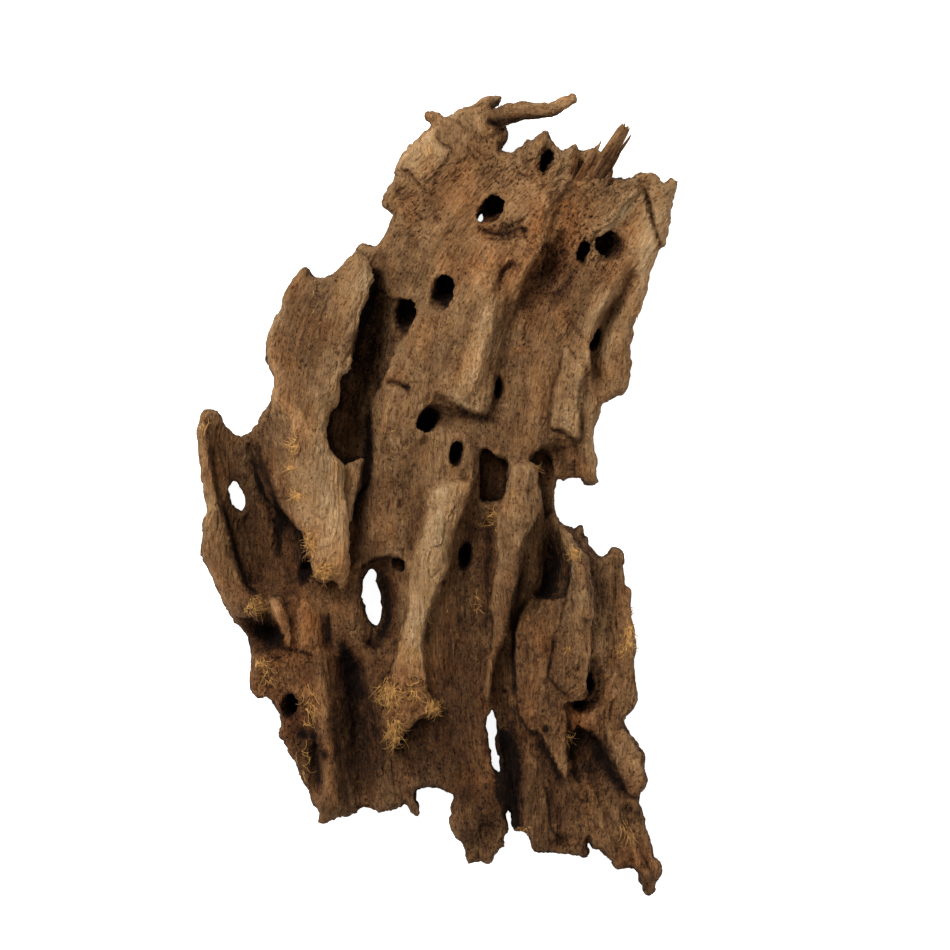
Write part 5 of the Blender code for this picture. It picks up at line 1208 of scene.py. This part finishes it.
# Where the wood is crumbled and pitted, or worn smooth, in the same terms, and where it is grey.
DECAY = [
    ((40, 165), (26, 12), 0.3, 0.7), ((-10, 145), (10, 18), 0.2, 0.6), ((34, 132), (10, 6), 0.0, 0.5),
    ((68, 130), (20, 30), 0.3, 0.6), ((95, 155), (20, 8), 0.0, 0.5), ((84, 118), (10, 12), 0.0, 0.5),
    ((-8, 170), (10, 10), 0.5, -0.3), ((108, 130), (7, 26), 0.0, -0.3), ((-52, -10), (14, 30), 0.0, -0.2),
    ((-110, -5), (7, 40), 0.0, -0.2), ((-5, -30), (12, 60), 0.1, -0.2), ((20, -90), (22, 60), 0.0, -0.1),
    ((-32, 75), (8, 26), 0.1, 0.5), ((-10, -100), (22, 12), 0.0, 0.2), ((-82, -80), (16, 18), 0.0, 0.35),
    ((-78, -110), (12, 16), 0.0, 0.35), ((98, -134), (8, 14), 0.0, 0.3),
    ((25, -170), (16, 14), 0.0, 0.25),
]
GREYED = [
    ((67, -45), (9, 22), 0.0, 0.9), ((42, -30), (8, 40), 0.1, 0.5), ((-60, 80), (18, 26), 0.1, 0.5),
    ((88, -130), (4, 16), -0.1, 0.7), ((110, 130), (8, 30), 0.0, 0.4),
]

# Pin holes, painted as dark spots for the shade inside them: (x, y, radius).
PAINTED_PIN_HOLES = [
    (0.1, 138.8, 1.3), (44.2, 132.5, 1.0), (44.4, 128.9, 0.9), (-14, 53.6, 1.4), (-18.3, -3.9, 0.8),
    (-0.4, -6.7, 0.9), (3.5, -43.3, 0.9), (20, -44.8, 0.8), (34.6, -97.8, 0.8), (54.6, -116.3, 1.3),
    (-66.8, -118.6, 1.5), (-61.2, -119.8, 1.2), (-55.5, -129.5, 1.6),
]


def painted_bore_shade(points):
    """Where shade is painted into the bores: 1 deep inside a bore, 0 outside and at its brim."""
    x, y, z = points.T
    dark = np.zeros(len(x))
    for middle, wide, long, lean, floor, drift in BORES.values():
        if floor > BLACK_BELOW:
            continue
        depth = (BRIM - z) / (BRIM - floor)
        turn = math.radians(lean)
        dx, dy = x - middle[0] - drift[0] * depth, y - middle[1] - drift[1] * depth
        u = (dx * math.cos(turn) - dy * math.sin(turn)) / wide
        v = (dx * math.sin(turn) + dy * math.cos(turn)) / long
        dark = np.maximum(dark, (1 - ease(np.hypot(u, v), 0.98, 1.25)) * ease(depth, 0.0, 0.5))
    return dark


def dress(mesh):
    """Writes what the wood material reads: grain coordinates, tone with painted shade and highlights in it,
    and tints.
    """
    points = points_of(mesh)
    x, y, z = points.T
    vectors(mesh, "grain", np.stack(grain_frame(points), 1))
    vectors(mesh, "spot", points)
    floats(mesh, "rot", decay(x, y))
    fine = height_above_neighbours(points, 2.4, 0.8)
    near = height_above_neighbours(points, 9, 1.5)
    wide = height_above_neighbours(points, 26, 1.5)
    facing = normals_of(mesh)[:, 2]
    # Painted shade and highlights: places below the mean height around them are darkened as shade and places
    # above it are paled as highlights, at three sizes. The tone also grows a little paler towards +Y.
    tone = 0.52 + 0.010 * np.clip(near, -9, 6) + 0.006 * np.clip(wide, -16, 14) + 0.0005 * (y - 20)
    tone += 0.12 * np.clip(fine, -1.5, 0.8)
    # A painted shadow along the low side of each broken edge, and a painted highlight along its high side.
    for line, left, right in LEDGES:
        low, high = ((1.8, 0.4), (0.3, 1.3)) if left > right else ((0.4, 1.8), (1.3, 0.3))
        tone -= 0.06 * ridge(x, y, line, *low) - 0.03 * ridge(x, y, line, *high)
    for loop, change, soft in TONE_AND_SHADE_FACES:
        tone += change * ease(inside(x, y, loop), -soft, soft)
    tone += sum(ridge(x, y, line, width, width) for line, width in STROKES)
    # Painted shade deep in the bores and on faces that look down, where shade falls, and the soft patches of
    # SHADES.
    tone += painted(x, y, SHADES) - 0.30 * painted_bore_shade(points) - 0.12 * ease(-facing, 0.1, 0.8)
    tone += 0.05 * layered(x / 17, y / 24, z / 17, 77, 3)
    # Painted shade: a dark spot at each pin hole.
    tone -= sum(0.6 * swell(x, y, (cx, cy), (radius, 1.3 * radius)) for cx, cy, radius in PAINTED_PIN_HOLES)
    floats(mesh, "tone", np.clip(tone, 0.03, 0.95))
    floats(mesh, "rust", np.clip(painted(x, y, RUST), 0, 1))
    floats(mesh, "grey", np.clip(painted(x, y, GREYED), 0, 1))
    mesh.shade_smooth()
    mesh.set_sharp_from_angle(angle=math.radians(SHARP_ANGLE))


def slimmed(mesh, most):
    """The mesh thinned to no more than this many triangles."""
    mesh.calc_loop_triangles()
    share = most / len(mesh.loop_triangles)
    if share >= 1:
        return mesh
    piece = new_object(mesh.name, mesh)
    piece.modifiers.new("slim", "DECIMATE").ratio = share
    return evaluated(piece, mesh.name, weld=False)


# Tufts of loose fibre: middle, half sizes, number, heading and fan in degrees, length, and how far they
# stand off.
TUFTS = [
    ((-69, 25.5), (2.0, 3.6), 44, 200, 70, 5.5, 1.5), ((-71, 14), (2.0, 1.2), 20, 175, 50, 5.5, 1.0),
    ((-69, 0.5), (2.6, 1.8), 50, 90, 180, 5.5, 1.6), ((-62, -23), (1.8, 6.0), 60, 240, 100, 5.5, 1.4),
    ((-56, -37), (4.2, 3.2), 90, 280, 120, 5.5, 1.6), ((-91, -54), (4.5, 4.0), 60, 330, 60, 6.0, 1.5),
    ((-87, -83), (3.0, 2.6), 32, 290, 50, 5.0, 1.0), ((-84, -92), (4, 6), 14, 280, 50, 7.0, 0.8),
    ((-64, -104), (4, 10), 30, 290, 40, 7.0, 0.8), ((-66, -132), (4, 10), 14, 290, 40, 6.0, 0.8),
    ((-23, -97), (5.0, 7.0), 110, 275, 60, 8.0, 1.6), ((-21, -116), (3.0, 8.0), 70, 280, 35, 8.0, 1.2),
    ((-1, -104), (4.0, 3.0), 70, 268, 16, 6.5, 0.8), ((-11, -97), (3.5, 4.0), 26, 300, 90, 8.0, 1.5),
    ((29.5, -12), (1.2, 6.0), 14, 165, 40, 8.0, 1.0), ((50, 15), (1.6, 1.2), 9, 320, 60, 5.5, 1.4),
    ((-116, 33), (2.0, 5.0), 14, 80, 60, 5.0, 0.8), ((68, -27), (3.0, 4.0), 34, 310, 40, 6.5, 1.0),
    ((66, -120), (1.0, 3.0), 10, 290, 50, 6.0, 1.2), ((97, -70), (2.5, 9.0), 70, 265, 18, 6.5, 0.6),
    ((92, -77), (2.0, 3.0), 14, 60, 70, 5.0, 1.0), ((101, 92), (0.8, 6.0), 12, 250, 30, 4.0, 0.3),
    ((98, -62), (0.8, 8.0), 12, 70, 20, 4.0, 0.3), ((-60, 90), (16, 18), 10, 260, 60, 3.0, 0.3),
    ((20, -55), (4.0, 5.0), 8, 20, 90, 5.0, 1.0), ((66, -76), (3.0, 2.0), 12, 250, 70, 4.0, 0.8),
    ((-10, -76), (6.0, 3.0), 14, 230, 30, 7.0, 0.8), ((96, -168), (6.0, 6.0), 12, 300, 14, 9.0, 0.6),
    ((42, -167), (4.0, 1.5), 16, 300, 40, 3.5, 0.3), ((-20, 26), (10, 20), 12, 260, 50, 3.5, 0.4),
    ((-2, -40), (9, 40), 30, 262, 30, 4.5, 0.4),
]
# The bundle of splinters on the brim: points of (x, y, z, half width) for each shard.
SHARDS = [
    [(74, 153, 31, 3.0), (81, 165, 37, 3.4), (88, 175, 41, 3.0), (92.5, 182.5, 42, 2.4),
     (94.4, 186.2, 42, 0.8)],
    [(77, 154, 31, 3.0), (85, 167, 36, 3.2), (91, 176, 39, 2.6), (95, 182.5, 40, 1.8),
     (96.4, 184.6, 40, 0.5)],
    [(79, 156, 30, 3.2), (85, 164, 33, 3.2), (89.5, 170, 34, 2.6), (92.4, 175.5, 34, 0.7)],
    [(83, 161, 32, 1.0), (90.5, 170, 36, 0.9), (95, 176.5, 38, 0.8), (98.4, 181.4, 39, 0.25)],
    [(71, 157, 33, 2.4), (76.5, 166, 37, 2.4), (80, 173.5, 38, 1.2), (81.6, 175.4, 38, 0.4)],
    [(79.6, 171, 38, 0.6), (81.2, 174.5, 39.5, 0.5), (82.2, 177.4, 39, 0.2)],
    [(85, 156, 33, 1.6), (87, 160, 35, 1.3), (88.5, 164, 35, 0.4)],
    [(66, 158, 33, 2.0), (69, 166, 37, 2.0), (70.5, 174, 37, 0.7)],
]


def tube(vertices, faces, rings):
    """Adds a closed tube through rings of three or four corners."""
    sides = len(rings[0])
    start = len(vertices)
    for ring in rings:
        vertices.extend(ring)
    for k in range(len(rings) - 1):
        for side in range(sides):
            a, b = start + k * sides + side, start + k * sides + (side + 1) % sides
            faces.append((a, b, b + sides, a + sides))
    faces.append(tuple(start + side for side in reversed(range(sides))))
    faces.append(tuple(start + (len(rings) - 1) * sides + side for side in range(sides)))


def face_height(carrier, x, y, otherwise):
    """Height of the wood below a place, or the given height where there is none."""
    hit, where, _, _ = carrier.ray_cast(Vector((x * MM, y * MM, ABOVE_ALL)), Vector((0, 0, -1)))
    return where.z / MM if hit else otherwise


def corner(x, y, z, across=(0, 0), wide=0):
    """A corner of a ring in metres, this far across from a place that is given in millimetres."""
    return (x + across[0] * wide) * MM, (y + across[1] * wide) * MM, z * MM


def fibre_mesh(carriers):
    """Loose fibres that lie on the face and curl off it a little."""
    random = np.random.RandomState(7)
    vertices, faces = [], []
    steps = 7
    for middle, spread, count, heading, fan, length, lift in TUFTS:
        carrier = carriers["leg_skin" if in_leg(*middle) else "trunk_skin"]
        for _ in range(count):
            x, y = np.array(middle) + np.array(spread) * np.clip(random.normal(0, 0.5, 2), -1, 1)
            z = face_height(carrier, x, y, None)
            if z is None:
                continue
            way = math.radians(heading + fan * random.uniform(-1, 1))
            stride = length * random.uniform(0.45, 1.25) / steps
            bend = random.normal(0, 0.24)
            rise = lift * random.uniform(0.1, 1.1)
            thick = random.uniform(0.12, 0.27)
            rings = []
            for k in range(steps + 1):
                share = k / steps
                z = min(z + 1, max(z - 1, face_height(carrier, x, y, z)))
                height = z - 0.1 + rise * math.sin(math.pi * share)
                wide = thick * (1 - 0.75 * share)
                across = (-math.sin(way), math.cos(way))
                rings.append([
                    corner(x, y, height, across, wide), corner(x, y, height, across, -wide),
                    corner(x, y, height + 1.4 * wide),
                ])
                x += stride * math.cos(way)
                y += stride * math.sin(way)
                way += bend
            tube(vertices, faces, rings)
    mesh = bpy.data.meshes.new("loose_fibres")
    mesh.from_pydata(vertices, [], faces)
    return mesh


def shard_mesh():
    """Each shard is a bundle of flat slivers with torn ends."""
    random = np.random.RandomState(11)
    vertices, faces = [], []
    for shard in SHARDS:
        line = np.array(shard)
        parts = 1 + int(line[:, 3].max() * 1.4)
        for part in range(parts):
            share = (part + 0.5) / parts * 2 - 1
            end = 1 - random.uniform(0, 0.16) * (abs(share) + 0.3)
            rings = []
            for t in np.linspace(0, end, 9):
                at = t * (len(line) - 1)
                k = min(int(at), len(line) - 2)
                x, y, z, half = line[k] + (at - k) * (line[k + 1] - line[k])
                dx, dy = (line[k + 1] - line[k])[:2]
                size = math.hypot(dx, dy)
                across = np.array([dy, -dx]) / size
                wide = 1.25 * half / parts * (1.0 if t < end - 0.1 else 0.35)
                x, y = np.array([x, y]) + across * share * half * 0.8 + random.normal(0, 0.09, 2)
                z += 0.9 * half * (1 - share * share) + random.normal(0, 0.1)
                deep = 0.7 * wide + 0.15
                rings.append([
                    corner(x, y, z, across, wide), corner(x, y, z + deep),
                    corner(x, y, z, across, -wide), corner(x, y, z - deep),
                ])
            tube(vertices, faces, rings)
    mesh = bpy.data.meshes.new("splinters")
    mesh.from_pydata(vertices, [], faces)
    return mesh


def in_leg(x, y):
    """Whether a place lies on the leg's side of the fork."""
    return inside(np.array([float(x)]), np.array([float(y)]), LEG_SEAM + LEG_BEYOND)[0] > 0


def fibre(name):
    """Dry golden fibre, a little different from strand to strand."""
    n = Nodes(name)
    place_here = n.attribute("spot").outputs["Vector"]
    shade = n.stretched_noise(place_here, (2.5, 2.5, 2.5), 2, 0.6)
    colour = n.mix(n.math("MULTIPLY_ADD", n.math("SUBTRACT", shade, 0.5), 2.5, 0.5, clamp=True),
                   linear(128, 86, 42), linear(212, 162, 92))
    n.tree.links.new(colour, n.shader.inputs["Base Color"])
    n.shader.inputs["Roughness"].default_value = 0.7
    n.shader.inputs["Specular IOR Level"].default_value = 0.3
    return n.material


def loose_pieces(carriers, wood_material):
    """The fibres and the splinters, which stay meshes of their own."""
    fibres = fibre_mesh(carriers)
    vectors(fibres, "spot", points_of(fibres))
    shards = shard_mesh()
    points = points_of(shards)
    x, y, z = points.T
    vectors(shards, "grain", np.stack([0.83 * x - 0.56 * y, 0.56 * x + 0.83 * y, z], 1))
    vectors(shards, "spot", points)
    floats(shards, "tone", 0.50 + 0.24 * ease(y, 162, 186) + 0.16 * layered(x / 1.2, y / 5, z / 1.2, 91, 2))
    floats(shards, "rot", 0 * x + 0.1)
    floats(shards, "rust", 0 * x + 0.25)
    floats(shards, "grey", 0 * x)
    for mesh, material in ((fibres, fibre("dry_fibre")), (shards, wood_material)):
        piece = new_object(mesh.name, mesh, material)
        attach(piece, "root")


def skins():
    """The skin of each node, and the loose pieces that they carry."""
    whole = skin()
    fine_relief(whole)
    leg_loop, branch_loop = LEG_SEAM + LEG_BEYOND, BRANCH_SEAM + BRANCH_BEYOND
    sets = {
        "trunk_skin": ("trunk", "trunk_wood", "DIFFERENCE", [leg_loop, branch_loop]),
        "leg_skin": ("right_leg", "leg_wood", "INTERSECT", [leg_loop]),
        "branch_skin": ("top_branch", "branch_wood", "INTERSECT", [branch_loop]),
    }
    material = wood("weathered_wood")
    carriers = {}
    for name, (node, slot, operation, loops) in sets.items():
        mesh = whole.copy()
        mesh.name = name
        mesh = cut(mesh, [prism("saw", [loop], SAW_FOOT, SAW_TOP) for loop in loops], operation)
        mesh = slimmed(mesh, MOST_TRIANGLES[name])
        dress(mesh)
        piece = carriers[name] = new_object(name, mesh, material)
        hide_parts(node)
        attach(piece, "root")
    bpy.context.view_layer.update()
    loose_pieces(carriers, material)


def stage():
    """White paper below, light, and a camera that looks straight down."""
    floor = new_object("floor", bpy.data.meshes.new("floor"))
    work = bmesh.new()
    bmesh.ops.create_grid(work, x_segments=1, y_segments=1, size=PAPER_HALF)
    work.to_mesh(floor.data)
    work.free()
    paper = Nodes("pale_paper")
    paper.shader.inputs["Base Color"].default_value = (PAPER_TONE, PAPER_TONE, PAPER_TONE, 1)
    paper.shader.inputs["Emission Color"].default_value = (1, 1, 1, 1)
    paper.shader.inputs["Emission Strength"].default_value = PAPER_GLOW
    paper.shader.inputs["Roughness"].default_value = 0.95
    floor.data.materials.append(paper.material)

    world = bpy.data.worlds.new("studio")
    bpy.context.scene.world = world
    world.use_nodes = True
    world.node_tree.nodes["Background"].inputs["Color"].default_value = (1, 1, 1, 1)
    world.node_tree.nodes["Background"].inputs["Strength"].default_value = FILL_LIGHT
    lamp = bpy.data.lights.new("soft_key", "AREA")
    lamp.shape = "DISK"
    lamp.size = KEY_SIZE
    lamp.energy = KEY_LIGHT
    key = new_object("soft_key", lamp)
    key.location = Vector(KEY_PLACE)
    key.rotation_euler = (-key.location).to_track_quat("-Z", "Y").to_euler()

    lens = bpy.data.cameras.new("camera")
    lens.sensor_width = SENSOR
    lens.lens = SENSOR * CAMERA_DISTANCE / VIEW_WIDTH
    lens.clip_end = 20
    camera = new_object("camera", lens)
    camera.location = Vector((*VIEW_CENTRE, VIEW_HEIGHT + CAMERA_DISTANCE)) * MM
    bpy.context.scene.camera = camera
    bpy.context.scene.view_settings.view_transform = "Standard"


skins()
stage()
